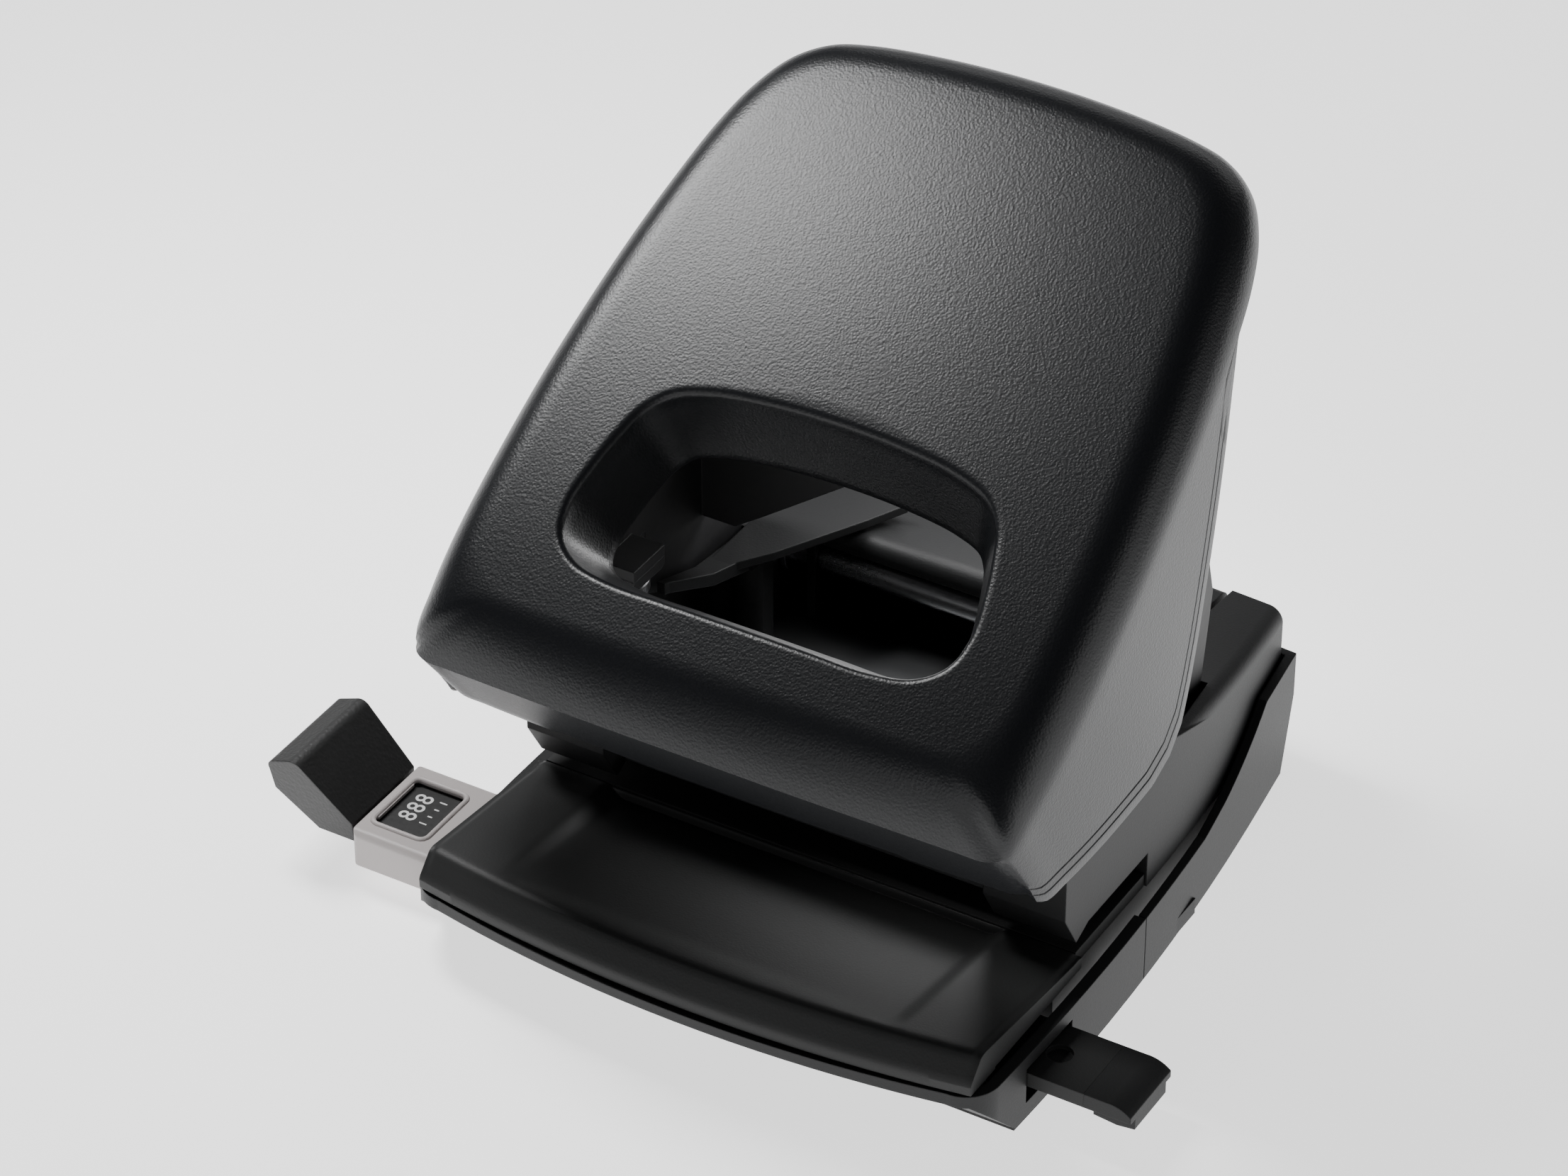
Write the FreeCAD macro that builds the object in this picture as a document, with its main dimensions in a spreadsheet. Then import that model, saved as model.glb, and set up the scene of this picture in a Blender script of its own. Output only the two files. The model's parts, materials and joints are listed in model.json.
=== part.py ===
import FreeCAD, Part

import math
import os

import Sketcher

# Two-hole desk punch for about 30 sheets.  Millimetres, +Z up, +Y to the rear, +X to the
# right.  X = 0 is the middle plane, Y = 0 the line through both punches, Z = 0 the desk.

doc = FreeCAD.newDocument("hole_punch")
sheet = doc.addObject("Spreadsheet::Sheet", "Sizes")
V = FreeCAD.Vector
NODES = []


class Dim:
    """A length that knows its value and the spreadsheet expression that gives it."""

    def __init__(self, value, text):
        self.value = float(value)
        self.text = text

    def _join(self, other, sign, result, flip=False):
        text = other.text if isinstance(other, Dim) else repr(float(other))
        first, second = (text, self.text) if flip else (self.text, text)
        return Dim(result, "(" + first + " " + sign + " " + second + ")")

    def __add__(self, other):
        return self._join(other, "+", self.value + value(other))

    def __radd__(self, other):
        return self._join(other, "+", value(other) + self.value, True)

    def __sub__(self, other):
        return self._join(other, "-", self.value - value(other))

    def __rsub__(self, other):
        return self._join(other, "-", value(other) - self.value, True)

    def __mul__(self, other):
        return self._join(other, "*", self.value * value(other))

    def __rmul__(self, other):
        return self._join(other, "*", value(other) * self.value, True)

    def __truediv__(self, other):
        return self._join(other, "/", self.value / value(other))

    def __neg__(self):
        return 0 - self


def value(length):
    return length.value if isinstance(length, Dim) else float(length)


ROWS = []


def size(alias, number, note):
    """Put a driving dimension in the sheet and return it."""
    row = str(len(ROWS) + 1)
    ROWS.append(alias)
    sheet.set("A" + row, note)
    sheet.set("B" + row, str(number))
    sheet.setAlias("B" + row, alias)
    return Dim(number, "Sizes." + alias)


# ---- driving dimensions -------------------------------------------------------------
hole_spacing = size("hole_spacing", 80.0, "centre to centre of the two holes")
hole_dia = size("hole_dia", 5.5, "diameter of a punched hole")
fit_gap = size("fit_gap", 0.05, "radial running clearance")

skirt_half = size("skirt_half", 51.2, "half width of the skirt at its rim")
skirt_wall = size("skirt_wall", 2.0, "wall of the skirt")
skirt_foot = size("skirt_foot", 0.8, "height of the skirt's lower edge")
rim_top = size("rim_top", 12.7, "height of the front rim")
seam_y = size("seam_y", 5.5, "joint between front and rear skirt")
front_y = size("front_y", -46.5, "front of the rim at its corners")
front_bulge = size("front_bulge", 4.5, "how far the front bows out")
under_y = size("under_y", -36.0, "front of the skirt at the desk")
rear_y = size("rear_y", 68.2, "rear of the skirt at its top corners")
rear_foot_y = size("rear_foot_y", 63.5, "rear of the skirt at the desk")
rear_rim = size("rear_rim", 21.9, "height of the rear rim")

plate_top = size("plate_top", 13.4, "top of the steel base plate")
plate_thick = size("plate_thick", 1.4, "thickness of the steel base plate")
table_half = size("table_half", 49.0, "half width of the paper table")
crease_y = size("crease_y", -43.0, "front crease of the table at its corners")
crease_z = size("crease_z", 19.1, "height of the front crease")
table_rear = size("table_rear", -11.0, "rear end of the table")
die_top = size("die_top", 15.8, "top of the die plate")
slot_top = size("slot_top", 20.0, "roof of the paper slot")
slot_rear = size("slot_rear", 11.7, "back stop of the paper slot")

house_half = size("house_half", 48.2, "half width of the housing at the slot")
house_rear_half = size("house_rear_half", 43.6, "half width of the housing at its rear")
house_front = size("house_front", -15.5, "front of the housing")
house_top = size("house_top", 40.8, "top of the housing under the handle")
house_rear = size("house_rear", 66.6, "rear of the housing")
cover_front = size("cover_front", 46.0, "front edge of the middle rear cover")
cover_high = size("cover_high", 33.6, "height of the rear cover at its front")
cover_low = size("cover_low", 30.4, "height of the rear cover at its rear")
groove_half = size("groove_half", 34.0, "half distance between the two cover grooves")
groove = size("groove", 0.8, "width of a cover groove")

pivot_y = size("pivot_y", 50.0, "handle axle behind the punches")
pivot_z = size("pivot_z", 25.0, "height of the handle axle")
axle_dia = size("axle_dia", 6.0, "diameter of the handle axle")
arm_half = size("arm_half", 43.0, "outer half width of the lever")
steel = size("steel", 2.0, "thickness of the lever's steel")

handle_half = size("handle_half", 52.0, "half width of the handle at its front")
handle_wall = size("handle_wall", 2.6, "wall of the handle shell")
handle_round = size("handle_round", 8.0, "rounding of the handle's front edges")
handle_tilt = size("handle_tilt", 30.5, "mean slope of the handle's front, degrees")

bar_y = size("bar_y", -26.0, "middle of the guide bar")
bar_wide = size("bar_wide", 13.0, "width of the guide bar")
bar_low = size("bar_low", 6.6, "underside of the guide bar")
bar_thick = size("bar_thick", 2.6, "thickness of the guide bar")
stop_x = size("stop_x", 68.5, "paper stop from the middle of the holes")
bar_right = size("bar_right", 69.0, "right end of the guide bar")
sleeve_wide = size("sleeve_wide", 21.0, "width of the scale sleeve")

tray_half = size("tray_half", 45.2, "half width of the waste tray")
tray_y = size("tray_y", 57.5, "tray hinge behind the punches")
tray_z = size("tray_z", 5.2, "height of the tray hinge")

sheet.set("A" + str(len(ROWS) + 1), "all lengths in millimetres")
doc.recompute()


# ---- helpers ------------------------------------------------------------------------
def bind(obj, prop, length):
    """Set a property, and bind it to the sheet where the length comes from there."""
    if isinstance(length, Dim):
        obj.setExpression(prop, length.text)
    else:
        obj.setExpression(prop, repr(float(length)))


def place(obj, x=0.0, y=0.0, z=0.0, axis=None, angle=0.0):
    """Give an object its Placement: a turn about axis, then a bound position."""
    turn = FreeCAD.Rotation(axis or V(0, 0, 1), angle)
    obj.Placement = FreeCAD.Placement(V(value(x), value(y), value(z)), turn)
    for name, length in (("x", x), ("y", y), ("z", z)):
        if isinstance(length, Dim):
            obj.setExpression("Placement.Base." + name, length.text)
    return obj


def box(name, low, high):
    """A Part::Box between two corners."""
    obj = doc.addObject("Part::Box", name)
    for prop, a, b in zip(("Length", "Width", "Height"), low, high):
        bind(obj, prop, b - a)
    return place(obj, *low)


def rod(name, radius, length, at, axis=None, angle=0.0):
    """A Part::Cylinder from at, along +Z before its turn."""
    obj = doc.addObject("Part::Cylinder", name)
    bind(obj, "Radius", radius)
    bind(obj, "Height", length)
    return place(obj, at[0], at[1], at[2], axis, angle)


def rod_x(name, radius, start, end, y, z):
    """A cylinder along +X."""
    return rod(name, radius, end - start, (start, y, z), V(0, 1, 0), 90)


def fuse(name, *pieces):
    obj = doc.addObject("Part::MultiFuse", name)
    obj.Shapes = list(pieces)
    obj.Refine = True
    return obj


def group(name, *pieces):
    """Separate solids kept together in one node."""
    obj = doc.addObject("Part::Compound", name)
    obj.Links = list(pieces)
    return obj


def cut(name, base, *tools):
    """Base less each tool."""
    tool = tools[0] if len(tools) == 1 else fuse(name + "_tools", *tools)
    obj = doc.addObject("Part::Cut", name)
    obj.Base = base
    obj.Tool = tool
    obj.Refine = True
    return obj


def common(name, first, second):
    obj = doc.addObject("Part::Common", name)
    obj.Base = first
    obj.Tool = second
    obj.Refine = True
    return obj


def mirrored(name, source):
    """The same piece on the other side of the middle plane."""
    obj = doc.addObject("Part::Mirroring", name)
    obj.Source = source
    obj.Normal = V(1, 0, 0)
    return obj


def rounded(name, base, radius, choose):
    """Fillet the edges of base that choose accepts."""
    doc.recompute()
    edges = [i + 1 for i, e in enumerate(base.Shape.Edges) if choose(e)]
    if not edges:
        raise RuntimeError("no edge to round on " + name)
    obj = doc.addObject("Part::Fillet", name)
    obj.Base = base
    obj.Edges = [(i, radius, radius) for i in edges]
    return obj


def node(label, obj):
    """Register an object as a sub-part: its Label names the file."""
    obj.Label = label
    NODES.append(obj)
    return obj


def origin_plane(body, role):
    for feature in body.Origin.OriginFeatures:
        if feature.Role == role:
            return feature
    raise RuntimeError("no plane " + role)


def draw(sketch, outline):
    """Draw a closed outline: points, with ('via', x, y) before an arc's end point.

    Every corner is bound to the sheet; an arc also passes through its via point.
    """
    steps = []
    via = None
    for item in outline:
        if item[0] == "via":
            via = item[1:]
            continue
        steps.append((item, via))
        via = None
    steps[0] = (steps[0][0], via or steps[0][1])
    count = len(steps)
    first = sketch.GeometryCount
    for i in range(count):
        here = steps[i][0]
        there, middle = steps[(i + 1) % count]
        a = V(value(here[0]), value(here[1]), 0)
        b = V(value(there[0]), value(there[1]), 0)
        if middle is None:
            sketch.addGeometry(Part.LineSegment(a, b), False)
            continue
        m = V(value(middle[0]), value(middle[1]), 0)
        sketch.addGeometry(Part.Arc(a, m, b), False)
    ends = []
    for i in range(count):
        a = V(value(steps[i][0][0]), value(steps[i][0][1]), 0)
        to_start = sketch.getPoint(first + i, 1).distanceToPoint(a)
        to_end = sketch.getPoint(first + i, 2).distanceToPoint(a)
        ends.append((1, 2) if to_start < to_end else (2, 1))
    for i in range(count):
        after = (i + 1) % count
        sketch.addConstraint(Sketcher.Constraint(
            "Coincident", first + i, ends[i][1], first + after, ends[after][0]))
        for kind, length in (("DistanceX", steps[i][0][0]), ("DistanceY", steps[i][0][1])):
            index = sketch.addConstraint(
                Sketcher.Constraint(kind, first + i, ends[i][0], value(length)))
            if isinstance(length, Dim):
                sketch.setExpression("Constraints[" + str(index) + "]", length.text)


def sketch_on(body, role, name, outlines, offset=0.0, tilt=0.0, at=(0.0, 0.0)):
    """A sketch on one of the body's own origin planes.

    offset lifts it along the plane's normal; tilt turns the XY plane about +X through
    the point (y, z) = at, for outlines drawn square to a sloping face.
    """
    sketch = body.newObject("Sketcher::SketchObject", name)
    sketch.AttachmentSupport = [(origin_plane(body, role), "")]
    sketch.MapMode = "FlatFace"
    if tilt:
        turn = FreeCAD.Rotation(V(1, 0, 0), value(tilt))
        sketch.AttachmentOffset = FreeCAD.Placement(V(0, at[0], at[1]), turn)
    elif offset:
        sketch.AttachmentOffset = FreeCAD.Placement(V(0, 0, value(offset)), FreeCAD.Rotation())
    for outline in outlines:
        draw(sketch, outline)
    return sketch


def new_body(name):
    return doc.addObject("PartDesign::Body", name)


def pad(body, name, sketch, length, midplane=False):
    feature = body.newObject("PartDesign::Pad", name)
    feature.Profile = sketch
    bind(feature, "Length", length)
    feature.Midplane = midplane
    doc.recompute()
    return feature


def prism(name, role, outline, length, offset=0.0, midplane=False):
    """A body with one padded outline."""
    body = new_body(name)
    pad(body, name + "_pad", sketch_on(body, role, name + "_sketch", [outline], offset),
        length, midplane)
    return body


def middle(edge):
    return edge.BoundBox.Center


def vertical(edge):
    """True for an edge that stands along Z."""
    b = edge.BoundBox
    return b.ZLength > 1.0 and b.XLength < 0.02 and b.YLength < 0.02


FAR = 200.0        # longer than the punch in any direction


TABLE_SCREWS = [(-38.0, -16.5), (38.0, -16.5)]
COVER_SCREWS = [(-37.0, 35.0), (37.0, 35.0)]
FOOT_PEGS = [(-33.0, -29.4), (33.0, -29.4), (-33.0, 60.8), (33.0, 60.8)]


def screw_holes(name, places):
    return [rod(name + "_" + str(i), 1.45, 40.0, (x, y, -8.0)) for i, (x, y) in enumerate(places)]


# ---- skirt --------------------------------------------------------------------------
def skirt_plan(inset):
    """Plan outline of the whole skirt, drawn inwards by inset: bowed front and rear."""
    half = skirt_half - inset
    corner = 6.0 - min(value(inset), 4.0)
    front = front_y + inset
    rear = rear_y - inset
    rear_half = house_rear_half + 2.0 - inset
    return [
        (-half + corner, front), ("via", 0.0, front - front_bulge), (half - corner, front),
        ("via", half - corner * 0.29, front + corner * 0.29), (half, front + corner),
        ("via", half + 0.2, 8.0), (rear_half + 1.8, rear - 14.0),
        (rear_half, rear), ("via", 0.0, rear + 2.0), (-rear_half, rear),
        (-rear_half - 1.8, rear - 14.0), ("via", -half - 0.2, 8.0), (-half, front + corner),
        ("via", -half + corner * 0.29, front + corner * 0.29),
    ]


def skirt_block(name, profile, inset=0.0):
    """A side profile, as wide as the skirt, trimmed to the skirt's plan outline."""
    side = prism(name + "_side", "YZ_Plane", profile, FAR, midplane=True)
    plan = prism(name + "_plan", "XY_Plane", skirt_plan(inset), 60.0, offset=-10.0)
    return common(name + "_block", side, plan)


def make_front_skirt():
    shelf = bar_low
    outer = skirt_block("front_outer", [
        (seam_y - 0.15, skirt_foot), (seam_y - 0.15, rim_top),
        (front_y - 8.0, rim_top), (front_y - 8.0, rim_top - 1.6),
        (front_y + 1.0, rim_top - 2.2), (under_y, skirt_foot)])
    inner = skirt_block("front_inner", [
        (seam_y + 5.0, skirt_foot - 1.0), (seam_y + 5.0, rim_top + 1.0),
        (front_y + 1.6, rim_top + 1.0), (front_y + 1.6, rim_top - 1.0),
        (under_y + 2.2, skirt_foot - 1.0)], skirt_wall)
    floor = box("front_floor", (-skirt_half + 2.6, under_y + 2.6, skirt_foot),
                (skirt_half - 2.6, -14.5, skirt_foot + 1.6))
    rail_f = box("rail_front", (-44.0, bar_y - bar_wide / 2 - 1.9, skirt_foot + 1.0),
                 (44.0, bar_y - bar_wide / 2 - 0.4, shelf + 2.6))
    rail_r = box("rail_rear", (-44.0, bar_y + bar_wide / 2 + 0.4, skirt_foot + 1.0),
                 (44.0, bar_y + bar_wide / 2 + 1.9, shelf + 2.6))
    ribs = [box("ledge_" + str(i), (-44.0, y, skirt_foot + 1.0), (44.0, y + 1.6, bar_low - 0.15))
            for i, y in enumerate((value(bar_y) - 7.1, value(bar_y) + 5.5))]
    side_tabs = [box("side_tab_" + str(i), (x, -14.5, skirt_foot), (x + 2.6, 4.5, skirt_foot + 3.0))
                 for i, x in enumerate((-value(skirt_half) + 1.2, value(skirt_half) - 3.8))]
    shell = cut("front_shell", outer, inner)
    body = fuse("front_body", shell, floor, rail_f, rail_r, *(ribs + side_tabs))
    slots = [box("bar_slot_right", (46.0, bar_y - bar_wide / 2 - 0.4, 3.6),
                 (60.0, bar_y + bar_wide / 2 + 0.4, bar_low + bar_thick + 1.0)),
             box("bar_slot_left", (-60.0, bar_y - sleeve_wide / 2, skirt_foot + 2.6),
                 (-46.0, bar_y + sleeve_wide / 2, 10.3))]
    foot_holes = [rod("foot_hole_" + str(i), 1.6, 6.0, (x, y, -1.0))
                  for i, (x, y) in enumerate(FOOT_PEGS[:2])]
    return node("front_skirt", cut("front_skirt_cut", body, *(slots + foot_holes)))


def rear_profile(inset, low):
    """Side profile of the rear skirt: the rim climbs behind the slot to the rear."""
    return [
        (seam_y + 0.15 - inset * 4, low), (rear_foot_y - inset, low),
        (rear_y + 3.0 - inset, rear_rim + inset * 3), (54.0, rear_rim + inset * 3),
        ("via", 46.5, 17.9 + value(inset) * 3), (36.0, 14.2 + value(inset) * 3),
        (28.0, rim_top + inset * 3), (seam_y + 0.15 - inset * 4, rim_top + inset * 3)]


def make_rear_skirt():
    outer = skirt_block("rear_outer", rear_profile(0.0, skirt_foot))
    inner = skirt_block("rear_inner", rear_profile(skirt_wall - 0.6, skirt_foot - 2.0),
                        skirt_wall - 0.6)
    floor = box("rear_floor", (-42.0, 55.5, skirt_foot), (42.0, 63.0, skirt_foot + 1.6))
    sides = [box("rear_ledge_" + str(i), (x, 6.5, skirt_foot), (x + 3.0, 24.0, skirt_foot + 3.0))
             for i, x in enumerate((-50.9, 47.9))]
    ears = [box("tray_ear_" + str(i), (x, 55.5, skirt_foot + 1.0), (x + 3.0, 59.5, 7.6))
            for i, x in enumerate((-42.0, 39.0))]
    body = fuse("rear_body", cut("rear_shell", outer, inner), floor, *(sides + ears))
    pins = rod_x("tray_pin_hole", 1.25, -45.1, 45.1, tray_y, tray_z)
    foot_holes = [rod("rear_foot_hole_" + str(i), 1.6, 4.0, (x, y, -1.0))
                  for i, (x, y) in enumerate(FOOT_PEGS[2:])]
    return node("rear_skirt", cut("rear_skirt_cut", body, pins, *foot_holes))


def make_feet():
    """One rubber foot round the skirt's lower edge, wide at its front and rear."""
    outer = common("foot_outer", prism("foot_plan", "XY_Plane", skirt_plan(0.3), skirt_foot),
                   box("foot_reach", (-60.0, under_y + 0.3, -1.0), (60.0, rear_foot_y - 0.5, 5.0)))
    inner = common("foot_inner", prism("foot_hole_plan", "XY_Plane", skirt_plan(1.3), 9.0, -4.0),
                   box("foot_well", (-60.0, -26.8, -4.0), (60.0, 58.8, 5.0)))
    pegs = [rod("foot_peg_" + str(i), 1.5, 2.0, (x, y, skirt_foot - 0.2))
            for i, (x, y) in enumerate(FOOT_PEGS)]
    return node("rubber_foot", fuse("foot_body", cut("foot_ring", outer, inner), *pegs))


# ---- steel frame, table and dies -----------------------------------------------------
def make_base_frame():
    plate = fuse("frame_plate",
                 box("plate_front", (-46.0, -38.0, plate_top - plate_thick), (46.0, 48.0, plate_top)),
                 box("plate_rear", (-43.6, 40.0, plate_top - plate_thick), (43.6, 61.0, plate_top)))
    ears = []
    holes = []
    for i, x in enumerate((arm_half - 4.6, -arm_half + 2.6)):
        ears.append(box("frame_ear_" + str(i), (x, 43.0, plate_top - 0.2), (x + 2.0, 54.6, 29.0)))
    holes.append(rod_x("axle_hole", axle_dia / 2 + fit_gap, -60.0, 60.0, pivot_y, pivot_z))
    for i, x in enumerate((-hole_spacing / 2, hole_spacing / 2)):
        holes.append(rod("chip_hole_" + str(i), 5.2, 10.0, (x, 0.0, 8.0)))
    holes += screw_holes("plate_screw", TABLE_SCREWS + COVER_SCREWS)
    body = fuse("frame_body", plate, *ears)
    return node("base_frame", cut("base_frame_cut", body, *holes))


def make_table():
    """Plastic table: bowed front, sloping front face, thumb scoop falling to the rear."""
    plan = prism("table_plan", "XY_Plane", [
        (table_half, table_rear), (-table_half, table_rear),
        (-table_half, crease_y - 3.2), ("via", 0.0, crease_y - 3.2 - front_bulge),
        (table_half, crease_y - 3.2)], 20.0, offset=6.0)
    side = prism("table_side", "YZ_Plane", [
        (table_rear, plate_top), (table_rear, die_top), (-16.0, die_top + 0.6),
        (crease_y - 0.6, crease_z), (crease_y - 4.6, crease_z),
        (crease_y - 9.0, rim_top + 0.3), (crease_y - 2.0, rim_top + 0.3),
        (-38.5, rim_top + 0.3), (-38.5, plate_top)], FAR, midplane=True)
    slab = common("table_slab", plan, side)
    wedge = prism("scoop", "YZ_Plane", [
        (-39.0, 30.0), (-39.0, crease_z - 0.55), (table_rear - 1.5, plate_top + 0.9),
        (table_rear - 1.5, 30.0)], 70.0, midplane=True)
    soft = rounded("scoop_soft", wedge, 3.0,
                   lambda e: abs(middle(e).x) > 34 and e.BoundBox.YLength > 20)
    holes = screw_holes("table_screw_hole", TABLE_SCREWS)
    return node("paper_table", cut("paper_table_cut", slab, soft, *holes))


def make_die_plate():
    plate = box("die_slab", (-house_half + 0.4, table_rear + 0.1, plate_top),
                (house_half - 0.4, slot_rear - 0.1, die_top))
    holes = [rod("die_seat_" + str(i), 4.0, 10.0, (x, 0.0, 10.0))
             for i, x in enumerate((-hole_spacing / 2, hole_spacing / 2))]
    return node("die_plate", cut("die_plate_cut", plate, *holes))


def make_dies():
    rings = []
    for i, x in enumerate((-hole_spacing / 2, hole_spacing / 2)):
        disc = rod("die_disc_" + str(i), 4.0, die_top - plate_top, (x, 0.0, plate_top))
        hole = rod("die_hole_" + str(i), hole_dia / 2 + fit_gap, 10.0, (x, 0.0, 10.0))
        rings.append(cut("die_" + str(i), disc, hole))
    return node("die_bushes", group("die_bushes_group", *rings))


# ---- housing -------------------------------------------------------------------------
def house_plan(inset):
    """Plan outline of the housing, narrowing to a bowed rear."""
    half = house_half - inset
    rear_half = house_rear_half - inset
    return [
        (half, house_front - 2.0), (half, slot_rear),
        ("via", half - 1.5, 42.0), (rear_half, house_rear - inset),
        ("via", 0.0, house_rear + 1.9 - inset), (-rear_half, house_rear - inset),
        ("via", -half + 1.5, 42.0), (-half, slot_rear), (-half, house_front - 2.0)]


def make_side_cover():
    """Cheek beside the slot and one flank of the rear cover, made for the right side."""
    profile = [
        (-11.6, slot_top - 1.6), (-7.8, slot_top), (slot_rear, slot_top), (slot_rear, plate_top),
        (house_rear - 4.5, plate_top), (house_rear + 3.0, rear_rim + 3.0),
        (house_rear + 3.0, cover_low), (22.0, 36.2), (9.0, house_top),
        (house_front, house_top), (house_front, 25.0)]
    side = prism("side_profile", "YZ_Plane", profile, 20.0, offset=groove_half)
    plan = prism("side_plan", "XY_Plane", house_plan(0.0), 60.0, offset=0.0)
    block = common("side_block", side, plan)
    block = rounded("side_soft", block, 2.6, lambda e: (
        middle(e).x > 41 and middle(e).z > 29 and e.BoundBox.YLength > 30))
    core = prism("side_core", "YZ_Plane", [
        (-8.6, slot_top + 1.8), (slot_rear + 2.0, slot_top + 1.8), (slot_rear + 2.0, plate_top - 2.0),
        (57.0, plate_top - 2.0), (62.0, cover_low - 2.4), (22.0, 33.8), (10.6, 38.2),
        (10.6, house_top + 3.0), (-13.6, house_top + 3.0), (-13.6, 26.5)],
        house_half - 1.8 - groove_half + 1.0, offset=groove_half - 1.0)
    core_plan = prism("side_core_plan", "XY_Plane", house_plan(1.8), 60.0, offset=0.0)
    seat = box("bridge_seat", (30.0, -9.15, slot_top - 3.0), (46.2, 9.15, slot_top + 4.0))
    boss = common("cover_boss", block, rod("cover_boss_rod", 3.4, 20.0, (37.0, 35.0, plate_top)))
    arm_slot = prism("arm_slot", "XY_Plane", [
        (arm_half - 3.0, 5.0), (46.4, 5.0), (46.4, 22.0), (arm_half + 1.2, 38.4),
        (arm_half - 3.0, 38.4)], 30.0, offset=27.0)
    flare = prism("wing_flare", "XY_Plane", [
        (32.0, 5.0), (38.6, 5.0), (38.6, 12.0), (34.6, 30.0), (32.0, 30.0)], 30.0, offset=27.0)
    hollow = cut("side_hollow", block, common("side_core_block", core, core_plan), seat,
                 arm_slot, flare)
    wing = prism("wing", "XY_Plane", [
        (39.4, 22.6), (37.0, 24.6), (31.5, 32.5), (23.0, 48.2), (19.6, 55.4), (31.0, 56.4),
        (36.0, 47.0), (39.4, 40.0)], 1.5, offset=34.2)
    body = fuse("side_body", hollow, boss, wing)
    return cut("side_cover_cut", body, *screw_holes("cover_screw_hole", COVER_SCREWS[1:]))


def make_rear_cover():
    side = prism("cover_side", "YZ_Plane", [
        (cover_front, plate_top + 0.1), (house_rear - 5.0, plate_top + 0.1),
        (house_rear + 3.0, rear_rim + 3.0), (house_rear + 3.0, cover_low),
        (cover_front, cover_high)], 2 * (groove_half - groove), midplane=True)
    plan = prism("cover_plan", "XY_Plane", house_plan(0.0), 60.0, offset=0.0)
    block = common("cover_block", side, plan)
    soft = rounded("cover_soft", block, 2.4, lambda e: (
        middle(e).z > 29 and e.BoundBox.XLength > 30))
    core = prism("cover_core", "YZ_Plane", [
        (cover_front - 5.0, plate_top - 3.0), (60.5, plate_top - 3.0), (63.8, cover_low - 1.9),
        (cover_front + 2.0, cover_high - 2.1), (cover_front + 2.0, 29.6), (cover_front - 5.0, 29.6)],
        2 * (groove_half - groove - 1.6), midplane=True)
    axle_way = rod_x("axle_way", 3.6, -60.0, 60.0, pivot_y, pivot_z)
    return node("rear_cover", cut("rear_cover_cut", soft, core, axle_way))


def make_bridge():
    """Steel channel above the slot that carries both punch guides."""
    web = box("bridge_web", (-groove_half - 12.0, -9.0, slot_top + 0.0),
              (groove_half + 12.0, 9.0, slot_top + 1.6))
    lips = [box("bridge_lip_" + str(i), (-33.0, y, slot_top), (33.0, y + 1.6, slot_top + 4.0))
            for i, y in enumerate((-9.0, 7.4))]
    holes = [rod("guide_seat_" + str(i), 5.0, 10.0, (x, 0.0, slot_top - 4.0))
             for i, x in enumerate((-hole_spacing / 2, hole_spacing / 2))]
    return node("punch_bridge", cut("punch_bridge_cut", fuse("bridge_body", web, *lips), *holes))


def make_backstop():
    return node("slot_backstop", box("backstop", (-groove_half + 0.2, slot_rear, plate_top),
                                     (groove_half - 0.2, slot_rear + 1.5, slot_top + 1.6)))


def make_guide(side, x):
    sleeve = rod("guide_sleeve_" + side, 5.0, 7.0, (x, 0.0, slot_top))
    bore = rod("guide_bore_" + side, hole_dia / 2 + fit_gap, 20.0, (x, 0.0, slot_top - 4.0))
    return node("punch_guide_" + side, cut("punch_guide_cut_" + side, sleeve, bore))


# ---- punches -------------------------------------------------------------------------
HEAD_Z = 46.0      # underside of a punch head at rest
PAD_Z = 48.6       # underside of the lever's pads at rest


def make_punch(side, x):
    """Hollow-ended cutting pin and its pressed-on head."""
    pin = rod("pin_" + side, hole_dia / 2, HEAD_Z - 21.0, (x, 0.0, 21.0))
    hollow = doc.addObject("Part::Cone", "cutting_hollow_" + side)
    hollow.Radius1 = 2.2
    hollow.Radius2 = 0.6
    hollow.Height = 3.0
    place(hollow, x, 0.0, 20.9)
    node("punch_" + side, cut("punch_cut_" + side, pin, hollow))
    cap = rod("head_" + side, 4.6, 2.0, (x, 0.0, HEAD_Z))
    node("punch_head_" + side, rounded("head_soft_" + side, cap, 0.5,
                                       lambda e: middle(e).z > HEAD_Z + 1.5))


def make_spring(side, x):
    """Return spring round one punch, from its guide to its head."""
    low = 27.0
    helix = Part.makeHelix(3.1, HEAD_Z - low - 1.0, 3.7)
    start = helix.Vertexes[0].Point
    ring = Part.Wire(Part.makeCircle(0.4, start, V(0, 1, 0.14)))
    wire = Part.Wire(helix.Edges).makePipeShell([ring], True, True)
    coil = doc.addObject("Part::Feature", "return_spring_" + side)
    coil.Shape = wire
    coil.Placement = FreeCAD.Placement(V(value(x), 0, low + 0.45), FreeCAD.Rotation())
    return node("return_spring_" + side, coil)


# ---- handle --------------------------------------------------------------------------
NOSE = (-44.8, 56.5)           # front edge of the lip band, (y, z)
LIP = (-33.4, 41.7)            # lower edge of the lip band
CHIN = (-38.0, 68.2)           # where the chin runs into the long front curve
CROWN = (56.8, 124.0)          # top of the front curve
TILT_AT = (-47.2, 61.5)        # zero of the sloping outline, (y, z)


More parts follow.
